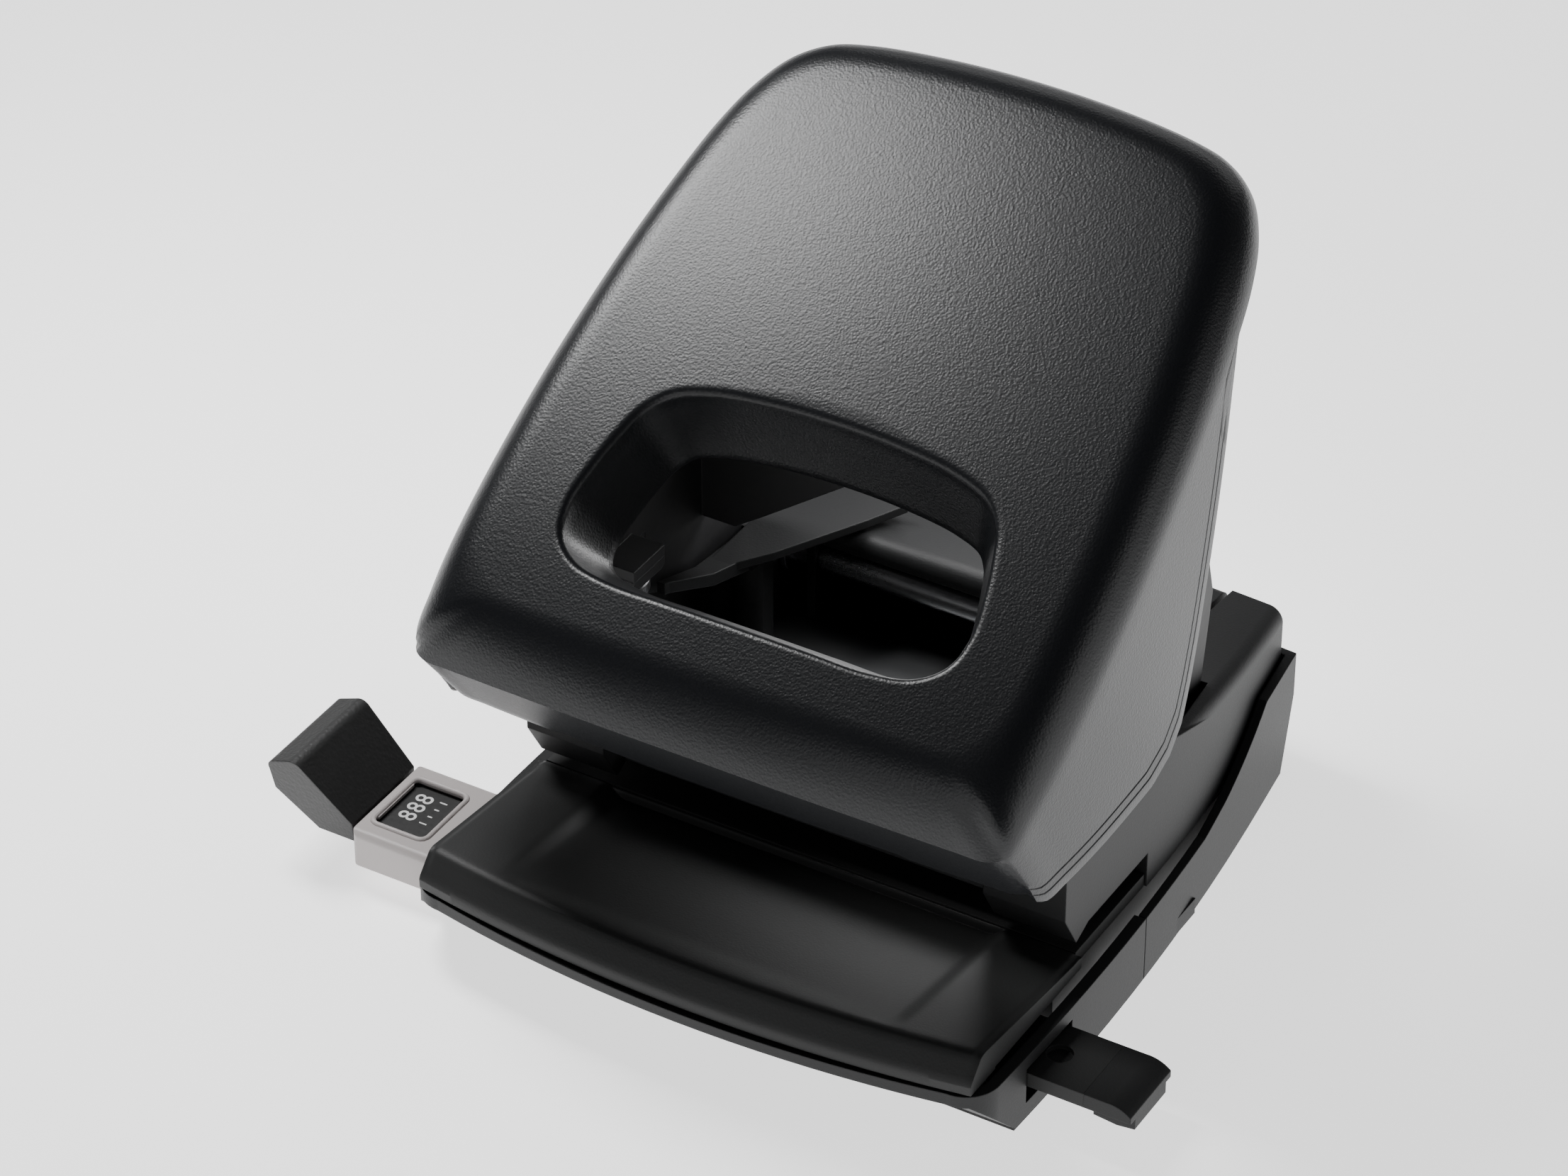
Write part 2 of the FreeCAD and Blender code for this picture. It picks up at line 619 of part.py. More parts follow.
def front_curve(t):
    """The handle's front, crown to nose, t inside its outer face, with its via points."""
    slope = math.radians(value(handle_tilt))
    dy, dz = t * math.sin(slope), -t * math.cos(slope)
    return [(CROWN[0] + dy, CROWN[1] + dz), ("via", 8.55 + dy, 97.55 + dz),
            (CHIN[0] + t * 0.62, CHIN[1] - t * 0.78), ("via", -42.7 + t * 0.87, 63.1 - t * 0.5),
            (NOSE[0] + t, NOSE[1])]


def front_outline(t):
    """Handle seen square to its front: (x, distance up the slope), t inside the edge."""
    half = handle_half - t
    return [
        (half - 9.4, -60.0), ("via", half + 0.35, 51.5), (45.3 - t, 104.0),
        ("via", 39.65 - t * 0.75, 114.45 - t * 0.68), (28.8 - t * 0.15, 119.3 - t),
        ("via", 0.0, 121.6 - t), (-28.8 + t * 0.15, 119.3 - t),
        ("via", -39.65 + t * 0.75, 114.45 - t * 0.68), (-45.3 + t, 104.0),
        ("via", -half - 0.35, 51.5), (-half + 9.4, -60.0)]


def tilted_prism(name, outline, length, lift=0.0):
    """An outline drawn square to the handle's front, padded both ways from lift."""
    slope = math.radians(value(handle_tilt))
    at = (TILT_AT[0] - lift * math.sin(slope), TILT_AT[1] + lift * math.cos(slope))
    body = new_body(name)
    sketch = sketch_on(body, "XY_Plane", name + "_sketch", [outline], tilt=handle_tilt, at=at)
    pad(body, name + "_pad", sketch, length, midplane=True)
    return body


def mid_point(edge):
    return edge.valueAt((edge.FirstParameter + edge.LastParameter) / 2)


def on_front(edge, t):
    """True for an edge of the deep block that bounds the handle's front."""
    c = mid_point(edge)
    on_arc = abs(math.hypot(c.y - 465.5, c.z + 678.7) - 900.8 + t) < 0.5 and c.y > -39
    on_chin = c.y < -36.5 + t and c.z > 31 and abs(c.x) > 40
    crown = math.hypot(c.y - CROWN[0] - t * 0.5, c.z - CROWN[1] + t * 0.86) < 3.0
    return (on_arc and abs(c.x) > 20) or on_chin or crown


def deep_block(name, t):
    """The handle's rounded front carried deep to the rear, t inside its outer face."""
    profile = [(90.0, 30.0), (90.0, 80.0), (CROWN[0] + 30.0, CROWN[1] - 51.0)]
    profile += front_curve(t) + [(NOSE[0] + t, 30.0)]
    side = prism(name + "_side", "YZ_Plane", profile, FAR, midplane=True)
    face = tilted_prism(name + "_face", front_outline(t), 240.0)
    block = common(name + "_block", side, face)
    return rounded(name + "_round", block, value(handle_round) - t, lambda e: on_front(e, t))


def window_outline(t):
    """Finger window in the front: rounded, narrowing to an arched top; t grows it."""
    return [
        (-23.0, 19.4 - t), (23.0, 19.4 - t), ("via", 31.2 + t * 0.7, 21.6 - t * 0.7),
        (34.2 + t, 29.0), (32.0 + t, 41.0), ("via", 29.2 + t * 0.8, 48.2 + t * 0.6),
        (22.0, 52.2 + t), ("via", 0.0, 53.9 + t), (-22.0, 52.2 + t),
        ("via", -29.2 - t * 0.8, 48.2 + t * 0.6), (-32.0 - t, 41.0), (-34.2 - t, 29.0),
        ("via", -31.2 - t * 0.7, 21.6 - t * 0.7)]


def funnel(name, grow_front, grow_rear, depth):
    """Loft from the window's edge to a smaller opening depth below the front."""
    body = new_body(name)
    slope = math.radians(value(handle_tilt))
    sketches = []
    for lift, grow in ((4.5, grow_front + 0.6), (-depth, grow_rear)):
        at = (TILT_AT[0] - lift * math.sin(slope), TILT_AT[1] + lift * math.cos(slope))
        sketches.append(sketch_on(body, "XY_Plane", name + "_s" + str(len(sketches)),
                                  [window_outline(grow)], tilt=handle_tilt, at=at))
    doc.recompute()
    loft = body.newObject("PartDesign::AdditiveLoft", name + "_loft")
    loft.Profile = sketches[0]
    loft.Sections = [sketches[1]]
    loft.Ruled = True
    doc.recompute()
    return body


def make_handle_shell():
    outer = deep_block("handle_outer", 0.0)
    trim = prism("handle_trim", "YZ_Plane", [
        LIP, (-28.0, 39.2), (3.0, 40.4), ("via", 10.0, 42.4), (14.4, 49.0), (37.6, 108.2),
        ("via", 39.0, 109.2), (41.0, 108.6), (CROWN[0] + 4.6, CROWN[1] - 8.2), (90.0, 120.0),
        (90.0, 160.0), (-80.0, 160.0), (-80.0, 102.2), NOSE], FAR, midplane=True)
    outside = common("handle_outside", outer, trim)
    inner = deep_block("handle_inner", value(handle_wall))
    inside_trim = prism("handle_inside_trim", "YZ_Plane", [
        (-31.3, 20.0), (-31.3, 43.3), (-42.7, 58.1), (-80.0, 100.0), (-80.0, 160.0),
        (120.0, 160.0), (120.0, 20.0)], FAR, midplane=True)
    inside = common("handle_inside", inner, inside_trim)
    shell = cut("handle_open", outside, inside)
    hole = tilted_prism("window_hole", window_outline(1.0), 24.0)
    holed = cut("handle_holed", shell, hole)
    walls = cut("funnel_walls", funnel("funnel_out", 2.2, -3.6, 12.0),
                funnel("funnel_in", 0.0, -5.4, 12.6))
    walls = common("funnel_trimmed", walls, outer)
    relief = box("lip_relief", (-30.6, -38.0, 38.0), (30.6, -28.0, 43.0))
    pads = [box("side_boss_" + str(i), (x, -3.0, 58.0), (x + 7.6, 11.0, 66.0))
            for i, x in enumerate((-50.6, 43.0))]
    return node("handle_shell", cut("handle_shell_cut",
                                    fuse("handle_body", holed, walls, *pads), relief,
                                    *lever_screw_rods("side_boss_hole", 1.05)))


def lever_screw_rods(name, radius):
    """Holes for the four screws that hold the shell to the lever's plates."""
    return [rod_x(name + "_" + str(i), radius, x, x + 8.2, y, 62.0)
            for i, (x, y) in enumerate((x, y) for x in (-48.2, 40.0) for y in (0.0, 8.0))]


def make_lever():
    """Pressed-steel lever: a plate down each side to the axle, joined under the handle."""
    plates = [prism("arm_" + str(i), "YZ_Plane", [
        (pivot_y, pivot_z - 4.5), ("via", pivot_y + 4.5, pivot_z), (pivot_y, pivot_z + 4.5),
        (37.8, 30.9), (41.0, 50.0), (34.0, 76.0), (25.0, 96.6), (3.4, 84.3), (-5.0, 70.0),
        (-5.0, PAD_Z + 2.0), (8.9, PAD_Z + 2.0), (8.9, 38.6), (44.0, pivot_z - 4.5)],
        steel, offset=x) for i, x in enumerate((-arm_half, arm_half - steel))]
    web = tilted_prism("lever_web", [(-42.0, 58.0), (42.0, 58.0), (42.0, 78.0), (-42.0, 78.0)],
                       steel, lift=-6.0)
    tabs = [box("lever_tab_" + str(i), (x, -4.0, PAD_Z + 2.0), (x + 7.0, 5.0, PAD_Z + 4.0))
            for i, x in enumerate((-42.0, 35.0))]
    gussets = [prism("gusset_" + str(i), "XZ_Plane", [
        (side * 41.2, 43.6), (side * 34.8, 43.6), (side * 30.2, 46.8), (side * 13.2, 59.3),
        (side * 13.2, 63.0), (side * 41.2, 63.0)], 1.6, offset=-27.6)
        for i, side in enumerate((-1.0, 1.0))]
    holes = [rod_x("bush_seat", 3.7, -60.0, 60.0, pivot_y, pivot_z)]
    holes += lever_screw_rods("lever_hole", 1.05)
    body = fuse("lever_body", web, *(plates + tabs + gussets))
    return node("lever_frame", cut("lever_cut", body, *holes))


def make_lever_parts():
    pads = [box("press_pad_" + str(i), (x - 4.0, -4.0, PAD_Z), (x + 4.0, 5.0, PAD_Z + 2.0))
            for i, x in enumerate((-39.0, 39.0))]
    pads = [rounded("press_pad_soft_" + str(i), pad_box, 0.9, lambda e: (
        middle(e).z < PAD_Z + 0.2 and e.BoundBox.XLength > 5)) for i, pad_box in enumerate(pads)]
    node("press_pads", group("press_pads_group", *pads))
    screws = []
    for i, (x, y) in enumerate((x, y) for x in (-47.6, 40.6) for y in (0.0, 8.0)):
        head_x = -value(arm_half) + 2.0 if x < 0 else value(arm_half) - 3.6
        shank = rod_x("lever_screw_shank_" + str(i), 1.0, x, x + 7.0, y, 62.0)
        head = rod_x("lever_screw_head_" + str(i), 2.2, head_x, head_x + 1.6, y, 62.0)
        screws.append(fuse("lever_screw_" + str(i), shank, head))
    node("handle_screws", group("handle_screws_group", *screws))
    bushes = []
    for i, x in enumerate((-value(arm_half) - 0.2, value(arm_half) - value(steel) - 0.2)):
        ring = rod_x("bush_" + str(i), 3.7, x, x + 2.4, pivot_y, pivot_z)
        bore = rod_x("bush_bore_" + str(i), axle_dia / 2 + fit_gap, x - 1, x + 5, pivot_y, pivot_z)
        bushes.append(cut("bush_cut_" + str(i), ring, bore))
    node("pivot_bushes", group("pivot_bushes_group", *bushes))


def make_axle():
    node("pivot_axle", rod_x("axle", axle_dia / 2, -43.3, 43.3, pivot_y, pivot_z))
    clips = []
    for i, x in enumerate((-value(arm_half) + 5.0, value(arm_half) - 6.0)):
        ring = rod_x("clip_" + str(i), 4.6, x, x + 1.0, pivot_y, pivot_z)
        bore = rod_x("clip_bore_" + str(i), axle_dia / 2 + 0.02, x - 1, x + 3, pivot_y, pivot_z)
        gap = box("clip_gap_" + str(i), (x - 1, pivot_y - 2.0, pivot_z - 6.0),
                  (x + 3, pivot_y + 2.0, pivot_z - 1.5))
        clips.append(cut("clip_cut_" + str(i), ring, bore, gap))
    node("axle_clips", group("axle_clips_group", *clips))


# ---- guide bar ------------------------------------------------------------------------
def make_sleeve():
    """Fixed sleeve at the left wall, with a slanted window over the bar's scale."""
    block = box("sleeve_block", (-stop_x - 0.1, bar_y - sleeve_wide / 2 + 0.3, skirt_foot + 2.8),
                (-47.0, bar_y + sleeve_wide / 2 - 0.3, 10.2))
    soft = rounded("sleeve_soft", block, 1.2, lambda e: (
        (middle(e).z > 9.5 and e.BoundBox.XLength > 5) or (vertical(e) and middle(e).x < -60)))
    bore = box("sleeve_bore", (-80.0, bar_y - bar_wide / 2 - 0.35, bar_low - 0.35),
               (-40.0, bar_y + bar_wide / 2 + 0.35, bar_low + bar_thick + 0.45))
    window = prism("sleeve_window", "XY_Plane", [
        (-66.6, bar_y - 5.0), ("via", -66.9, bar_y - 5.9), (-66.0, bar_y - 6.2),
        (-58.6, bar_y - 6.2), ("via", -57.7, bar_y - 5.9), (-57.4, bar_y - 5.0),
        (-57.4, bar_y + 5.0), ("via", -57.7, bar_y + 5.9), (-58.6, bar_y + 6.2),
        (-66.0, bar_y + 6.2), ("via", -66.9, bar_y + 5.9), (-66.6, bar_y + 5.0)], 8.0, offset=7.8)
    return node("guide_sleeve", cut("guide_sleeve_cut", soft, bore, window))


def make_guide_bar():
    top = bar_low + bar_thick
    strip = box("bar_strip", (-stop_x - 0.6, bar_y - bar_wide / 2, bar_low),
                (bar_right - 8.0, bar_y + bar_wide / 2, top))
    dimple = rod("bar_dimple", 2.1, 3.0, (53.5, bar_y, top - 0.8))
    node("guide_bar", cut("guide_bar_cut", strip, dimple))
    label = box("label_strip", (-stop_x + 0.6, bar_y - 5.4, top), (40.0, bar_y + 5.4, top + 0.2))
    node("scale_label", label)
    grip = prism("grip_side", "XZ_Plane", [
        (bar_right - 8.0, bar_low), (bar_right - 8.0, top), (bar_right - 4.2, top),
        ("via", bar_right - 1.6, top - 0.4), (bar_right, top - 1.4), (bar_right, 4.6),
        (bar_right - 3.0, 4.2), (bar_right - 7.0, 4.6), (bar_right - 7.0, bar_low)],
        bar_wide, offset=-bar_y - bar_wide / 2)
    notches = [box("grip_notch_" + str(i), (bar_right - 8.2, y, 3.0), (bar_right + 1.0, y + 2.4, 6.6))
               for i, y in enumerate((value(bar_y) - 7.4, value(bar_y) + 5.0))]
    node("bar_grip", cut("bar_grip_cut", grip, *notches))
    stop = prism("stop_side", "XZ_Plane", [
        (-stop_x - 0.6, bar_low), (-stop_x - 0.6, 10.4), (-77.4, 19.2), ("via", -78.4, 19.9),
        (-79.6, 19.9), (-83.0, 18.6), ("via", -83.8, 17.9), (-83.9, 16.8), (-83.4, 12.6),
        (-76.0, bar_low)], 20.0, offset=-bar_y - 9.0)
    side = prism("stop_flare", "YZ_Plane", [
        (bar_y - 8.0, 4.0), (bar_y - 11.0, 22.0), (bar_y + 9.0, 22.0), (bar_y + 8.5, 4.0)],
        40.0, offset=-100.0)
    node("paper_stop", common("stop_block", stop, side))


def make_detent():
    """Steel leaf under the guide bar that holds it where it is put."""
    return node("detent_spring", prism("detent", "XZ_Plane", [
        (-43.0, 2.4), (-38.5, 2.4), ("via", -32.0, 5.9), (-25.5, 2.4), (-21.0, 2.4),
        (-21.0, 2.7), (-25.1, 2.7), ("via", -32.0, 6.35), (-38.9, 2.7), (-43.0, 2.7)],
        5.0, offset=-bar_y - 2.5))


# ---- waste tray -----------------------------------------------------------------------
def make_tray():
    """Tray for the waste, hung at the rear so that it swings down to be emptied."""
    outer = box("tray_outer", (-tray_half, -13.0, skirt_foot + 0.1), (tray_half, 50.0, 9.8))
    inner = box("tray_inner", (-tray_half + 1.4, -11.6, skirt_foot + 1.5),
                (tray_half - 1.4, 48.6, 20.0))
    lugs = [fuse("tray_lug_" + str(i),
                 box("lug_block_" + str(i), (x, 49.0, tray_z - 2.2), (x + 2.6, tray_y, tray_z + 2.2)),
                 rod_x("lug_eye_" + str(i), 2.2, x, x + 2.6, tray_y, tray_z))
            for i, x in enumerate((-tray_half + 0.3, tray_half - 2.9))]
    eye = rod_x("lug_hole", 1.25 + value(fit_gap), -60.0, 60.0, tray_y, tray_z)
    rib = box("tray_grip", (-12.0, -12.4, 9.0), (12.0, -8.0, 9.8))
    body = fuse("tray_body", cut("tray_shell", outer, inner), rib, *lugs)
    node("waste_tray", cut("waste_tray_cut", body, eye))
    pins = [rod_x("tray_pin_" + str(i), 1.25, x, x + 6.0, tray_y, tray_z)
            for i, x in enumerate((-45.1, 39.1))]
    node("tray_hinge_pins", group("tray_hinge_pins_group", *pins))


def make_screws(label, places, low, top):
    """Pan-head screws driven up from below the base plate."""
    made = []
    for i, (x, y) in enumerate(places):
        head = rod(label + "_head_" + str(i), 2.6, 1.7, (x, y, low))
        shank = rod(label + "_shank_" + str(i), 1.4, top - low, (x, y, low))
        cross = [box(label + "_slot_" + str(i) + str(k), (x - wide, y - deep, low - 1.0),
                     (x + wide, y + deep, low + 0.8))
                 for k, (wide, deep) in enumerate(((1.6, 0.3), (0.3, 1.6)))]
        made.append(cut(label + "_" + str(i), fuse(label + "_blank_" + str(i), head, shank), *cross))
    node(label, group(label + "_group", *made))


MAKERS = [make_front_skirt, make_rear_skirt, make_feet, make_base_frame, make_table, make_die_plate,
          make_dies, make_rear_cover, make_bridge, make_backstop, make_handle_shell, make_lever,
          make_lever_parts, make_axle, make_sleeve, make_guide_bar, make_detent, make_tray]
for maker in MAKERS:
    maker()
make_screws("table_screws", TABLE_SCREWS, 10.1, 15.4)
make_screws("cover_screws", COVER_SCREWS, 10.1, 21.5)
right_cover = node("side_cover_right", make_side_cover())
node("side_cover_left", mirrored("side_cover_mirror", right_cover))
for side, x in (("left", -hole_spacing / 2), ("right", hole_spacing / 2)):
    make_guide(side, x)
    make_punch(side, x)
    make_spring(side, x)

doc.recompute()
os.makedirs("parts", exist_ok=True)
for obj in doc.Objects:
    if "Invalid" in obj.State or "Error" in obj.State:
        raise RuntimeError(obj.Name + " failed: " + str(obj.State))
for obj in NODES:
    shape = obj.Shape
    if shape.isNull() or not shape.isValid() or not shape.Solids:
        raise RuntimeError(obj.Label + " has no valid solid")
    shape.exportStep("parts/" + obj.Label + ".step")
    print(obj.Label, len(shape.Solids), round(shape.Volume, 1))
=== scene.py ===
import json
import logging
import math
from dataclasses import dataclass, field
from enum import Enum
from typing import Optional, Sequence, Union

import bpy
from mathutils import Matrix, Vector


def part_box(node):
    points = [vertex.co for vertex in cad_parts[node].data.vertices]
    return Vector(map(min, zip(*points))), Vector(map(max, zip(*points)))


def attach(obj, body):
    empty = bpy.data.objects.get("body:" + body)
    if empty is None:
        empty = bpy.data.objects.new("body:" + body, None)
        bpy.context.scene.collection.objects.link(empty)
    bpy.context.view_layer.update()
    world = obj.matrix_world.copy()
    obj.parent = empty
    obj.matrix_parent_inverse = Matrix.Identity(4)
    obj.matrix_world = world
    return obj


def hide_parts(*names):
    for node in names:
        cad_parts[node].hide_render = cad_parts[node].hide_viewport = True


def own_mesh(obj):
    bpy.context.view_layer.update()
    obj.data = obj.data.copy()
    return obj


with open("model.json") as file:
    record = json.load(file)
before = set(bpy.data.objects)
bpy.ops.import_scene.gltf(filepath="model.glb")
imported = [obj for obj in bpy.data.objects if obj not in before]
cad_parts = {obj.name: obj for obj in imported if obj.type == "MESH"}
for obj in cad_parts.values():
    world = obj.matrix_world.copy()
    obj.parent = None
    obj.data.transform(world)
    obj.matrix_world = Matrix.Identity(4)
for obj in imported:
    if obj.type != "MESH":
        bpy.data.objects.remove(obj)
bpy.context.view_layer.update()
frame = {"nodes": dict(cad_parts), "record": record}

LOG = logging.getLogger("hole_punch")
MM = 0.001

Point = tuple[float, float, float]
Flat = tuple[float, float]
Ring = list[Point]
Materials = dict[str, bpy.types.Material]


class Body(Enum):
    """The bodies that pieces ride on."""

    BASE = "base"
    HANDLE = "handle"
    GUIDE = "guide"


# ---- shader expressions ---------------------------------------------------------------
class Value:
    """One number in a shader graph; arithmetic on it adds Math nodes."""

    def __init__(self, graph: "Graph", socket: bpy.types.NodeSocket) -> None:
        """Wrap a socket.

        Args:
            graph: the graph that the socket belongs to.
            socket: the output socket that gives the number.
        """
        self.graph = graph
        self.socket = socket

    def _math(self, operation: str, *values: "Number") -> "Value":
        """Join numbers with one Math node.

        Args:
            operation: the node's operation.
            values: the numbers that it takes, in order.

        Returns:
            The node's result.
        """
        inputs = dict(enumerate(values))
        node = self.graph.add("ShaderNodeMath", {"operation": operation}, inputs)
        return Value(self.graph, node.outputs[0])

    def __add__(self, other: "Number") -> "Value":
        """self + other.

        Args:
            other: the other number.

        Returns:
            The sum.
        """
        return self._math("ADD", self, other)

    __radd__ = __add__

    def __sub__(self, other: "Number") -> "Value":
        """self - other.

        Args:
            other: the other number.

        Returns:
            The difference.
        """
        return self._math("SUBTRACT", self, other)

    def __rsub__(self, other: "Number") -> "Value":
        """other - self.

        Args:
            other: the other number.

        Returns:
            The difference.
        """
        return self._math("SUBTRACT", other, self)

    def __mul__(self, other: "Number") -> "Value":
        """self * other.

        Args:
            other: the other number.

        Returns:
            The product.
        """
        return self._math("MULTIPLY", self, other)

    __rmul__ = __mul__

    def __pow__(self, other: "Number") -> "Value":
        """self to a power.

        Args:
            other: the power.

        Returns:
            The result.
        """
        return self._math("POWER", self, other)

    def __rpow__(self, other: "Number") -> "Value":
        """other to the power self.

        Args:
            other: the number that is raised.

        Returns:
            The result.
        """
        return self._math("POWER", other, self)


Number = Union[float, Value]
Colour = tuple[float, float, float, float]


class Graph:
    """A material's nodes, ending in one Principled shader."""

    def __init__(self, name: str) -> None:
        """Start a material.

        Args:
            name: the material's name.
        """
        self.material = bpy.data.materials.new(name)
        self.material.use_nodes = True
        self.tree = self.material.node_tree
        self.shader = next(n for n in self.tree.nodes if n.type == "BSDF_PRINCIPLED")
        place = self.add("ShaderNodeTexCoord", {}, {})
        self.place = place.outputs["Object"]

    def add(self, kind: str, settings: dict[str, object],
            inputs: dict[Union[str, int], object]) -> bpy.types.Node:
        """Add one node.

        Args:
            kind: the node's type.
            settings: its settings, set before its sockets.
            inputs: what each of its sockets takes: a number, a colour or a link.

        Returns:
            The new node.
        """
        node = self.tree.nodes.new(kind)
        for key, setting in settings.items():
            setattr(node, key, setting)
        for key, given in inputs.items():
            self.feed(node.inputs[key], given)
        return node

    def feed(self, socket: bpy.types.NodeSocket, given: object) -> None:
        """Link or set one socket.

        Args:
            socket: the socket.
            given: a number, a colour or a link.
        """
        if isinstance(given, Value):
            self.tree.links.new(given.socket, socket)
        elif isinstance(given, bpy.types.NodeSocket):
            self.tree.links.new(given, socket)
        else:
            socket.default_value = given

    def noise(self, scale: float, detail: float = 3.0, rough: float = 0.5,
              stretch: Optional[Point] = None) -> Value:
        """Noise over the piece.

        Args:
            scale: waves per metre.
            detail: octaves.
            rough: how strong the finer octaves are.
            stretch: scale along X, Y and Z, for a drawn-out pattern.

        Returns:
            The noise, about 0 to 1.
        """
        place = self.place
        if stretch:
            moved = self.add("ShaderNodeMapping", {}, {"Vector": place, "Scale": stretch})
            place = moved.outputs[0]
        node = self.add("ShaderNodeTexNoise", {}, {
            "Vector": place, "Scale": scale, "Detail": detail, "Roughness": rough})
        return Value(self, node.outputs["Fac"])

    def cells(self, scale: float) -> Value:
        """Distance to the nearest of many scattered points, for a grained skin.

        Args:
            scale: points per metre.

        Returns:
            The distance, 0 at a point.
        """
        node = self.add("ShaderNodeTexVoronoi", {"feature": "SMOOTH_F1"}, {
            "Vector": self.place, "Scale": scale, "Smoothness": 0.6})
        return Value(self, node.outputs["Distance"])

    def mix(self, fac: Number, first: object, second: object) -> bpy.types.NodeSocket:
        """Mix two colours.

        Args:
            fac: the second colour's share.
            first: the first colour.
            second: the second colour.

        Returns:
            The mixed colour's socket.
        """
        node = self.add("ShaderNodeMix", {"data_type": "RGBA"},
                        {0: fac, 6: first, 7: second})
        return node.outputs[2]

    def bump(self, height: Number, depth: float, strength: float = 1.0,
             under: Optional[bpy.types.NodeSocket] = None) -> bpy.types.NodeSocket:
        """Turn a height into a normal.

        Args:
            height: the height, 0 to 1.
            depth: what a height of 1 stands for, in metres.
            strength: the effect's strength.
            under: a normal to add it to.

        Returns:
            The normal's socket.
        """
        inputs = {"Height": height, "Distance": depth, "Strength": strength}
        if under is not None:
            inputs["Normal"] = under
        return self.add("ShaderNodeBump", {}, inputs).outputs[0]

    def soft_edges(self, radius: float) -> bpy.types.NodeSocket:
        """A normal that rounds the piece's sharp edges by radius, in metres.

        Args:
            radius: the rounding's radius.

        Returns:
            The normal's socket.
        """
        return self.add("ShaderNodeBevel", {"samples": 4}, {"Radius": radius}).outputs[0]

    def set(self, **sockets: object) -> None:
        """Set or link the shader's own sockets; an underscore stands for a space.

        Args:
            sockets: what each socket takes, by its name.
        """
        for name, given in sockets.items():
            self.feed(self.shader.inputs[name.replace("_", " ")], given)


def grey(level: float) -> Colour:
    """A grey, as linear colour.

    Args:
        level: how light it is, 0 to 1.

    Returns:
        The colour.
    """
    return (level, level, level, 1.0)


# ---- finishes -------------------------------------------------------------------------
@dataclass(frozen=True)
class GrainedPlastic:
    """Moulded plastic with a spark-eroded or leather-like skin."""

    name: str
    slot: str
    shade: Colour
    worn: Colour
    roughness: float
    grain_mm: float
    grain_depth: float
    edge_mm: float = 0.25
    specular: float = 0.5

    def make(self) -> bpy.types.Material:
        """Build the material.

        Returns:
            The material.
        """
        graph = Graph(self.name)
        grain = graph.cells(1 / (self.grain_mm * MM))
        fine = graph.noise(1.6 / (self.grain_mm * MM), 4.0, 0.6)
        flow = graph.noise(28.0, 3.0)
        handled = graph.noise(9.0, 2.0)
        skin = grain * 0.7 + fine * 0.5
        rounded = graph.soft_edges(self.edge_mm * MM) if self.edge_mm else None
        graph.set(
            Base_Color=graph.mix(flow * 0.55 + fine * 0.35, self.shade, self.worn),
            Roughness=self.roughness + (handled - 0.5) * 0.10 + (fine - 0.5) * 0.16,
            Normal=graph.bump(skin, self.grain_depth * MM, 1.0, rounded),
            Specular_IOR_Level=self.specular)
        return graph.material


@dataclass(frozen=True)
class GroundSteel:
    """Bare steel with fine drawn or turned lines."""

    name: str
    slot: str
    shade: Colour
    roughness: float
    lines: Point = (1.0, 14.0, 1.0)
    blotch: float = 0.15

    def make(self) -> bpy.types.Material:
        """Build the material.

        Returns:
            The material.
        """
        graph = Graph(self.name)
        lines = graph.noise(900.0, 3.0, 0.6, self.lines)
        stain = graph.noise(70.0, 4.0)
        dull = tuple(c * (1 - self.blotch * 2) for c in self.shade[:3]) + (1.0,)
        graph.set(
            Base_Color=graph.mix(stain * 0.8 + lines * 0.3, dull, self.shade),
            Roughness=self.roughness + lines * 0.16 + (stain - 0.5) * self.blotch,
            Metallic=1.0,
            Normal=graph.bump(lines, 0.00003, 0.5, graph.soft_edges(0.0002)))
        return graph.material


@dataclass(frozen=True)
class BlackEnamel:
    """Black stoved paint on pressed steel, with slight orange peel."""

    name: str
    slot: str
    shade: Colour = (0.006, 0.006, 0.007, 1.0)

    def make(self) -> bpy.types.Material:
        """Build the material.

        Returns:
            The material.
        """
        graph = Graph(self.name)
        peel = graph.noise(700.0, 2.0)
        dust = graph.noise(60.0, 5.0, 0.65)
        graph.set(
            Base_Color=graph.mix(dust ** 2.0, self.shade, grey(0.02)),
            Roughness=0.42 + dust * 0.2,
            Normal=graph.bump(peel, 0.00004, 0.6, graph.soft_edges(0.0003)))
        return graph.material


@dataclass(frozen=True)
class Rubber:
    """Soft black rubber with a dusty bloom."""

    name: str
    slot: str

    def make(self) -> bpy.types.Material:
        """Build the material.

        Returns:
            The material.
        """
        graph = Graph(self.name)
        bloom = graph.noise(160.0, 5.0, 0.7)
        graph.set(
            Base_Color=graph.mix(bloom, grey(0.012), grey(0.035)),
            Roughness=0.75 + bloom * 0.2,
            Normal=graph.bump(bloom, 0.00005, 0.6))
        return graph.material


@dataclass(frozen=True)
class Ink:
    """Printed film: flat ink with a faint roller texture."""

    name: str
    slot: str
    shade: Colour
    roughness: float = 0.35

    def make(self) -> bpy.types.Material:
        """Build the material.

        Returns:
            The material.
        """
        graph = Graph(self.name)
        film = graph.noise(1500.0, 3.0)
        lighter = tuple(min(1.0, c * 1.25 + 0.004) for c in self.shade[:3]) + (1.0,)
        graph.set(
            Base_Color=graph.mix(film, self.shade, lighter),
            Roughness=self.roughness + film * 0.15,
            Normal=graph.bump(film, 0.00001, 0.4))
        return graph.material


Finish = Union[GrainedPlastic, GroundSteel, BlackEnamel, Rubber, Ink]

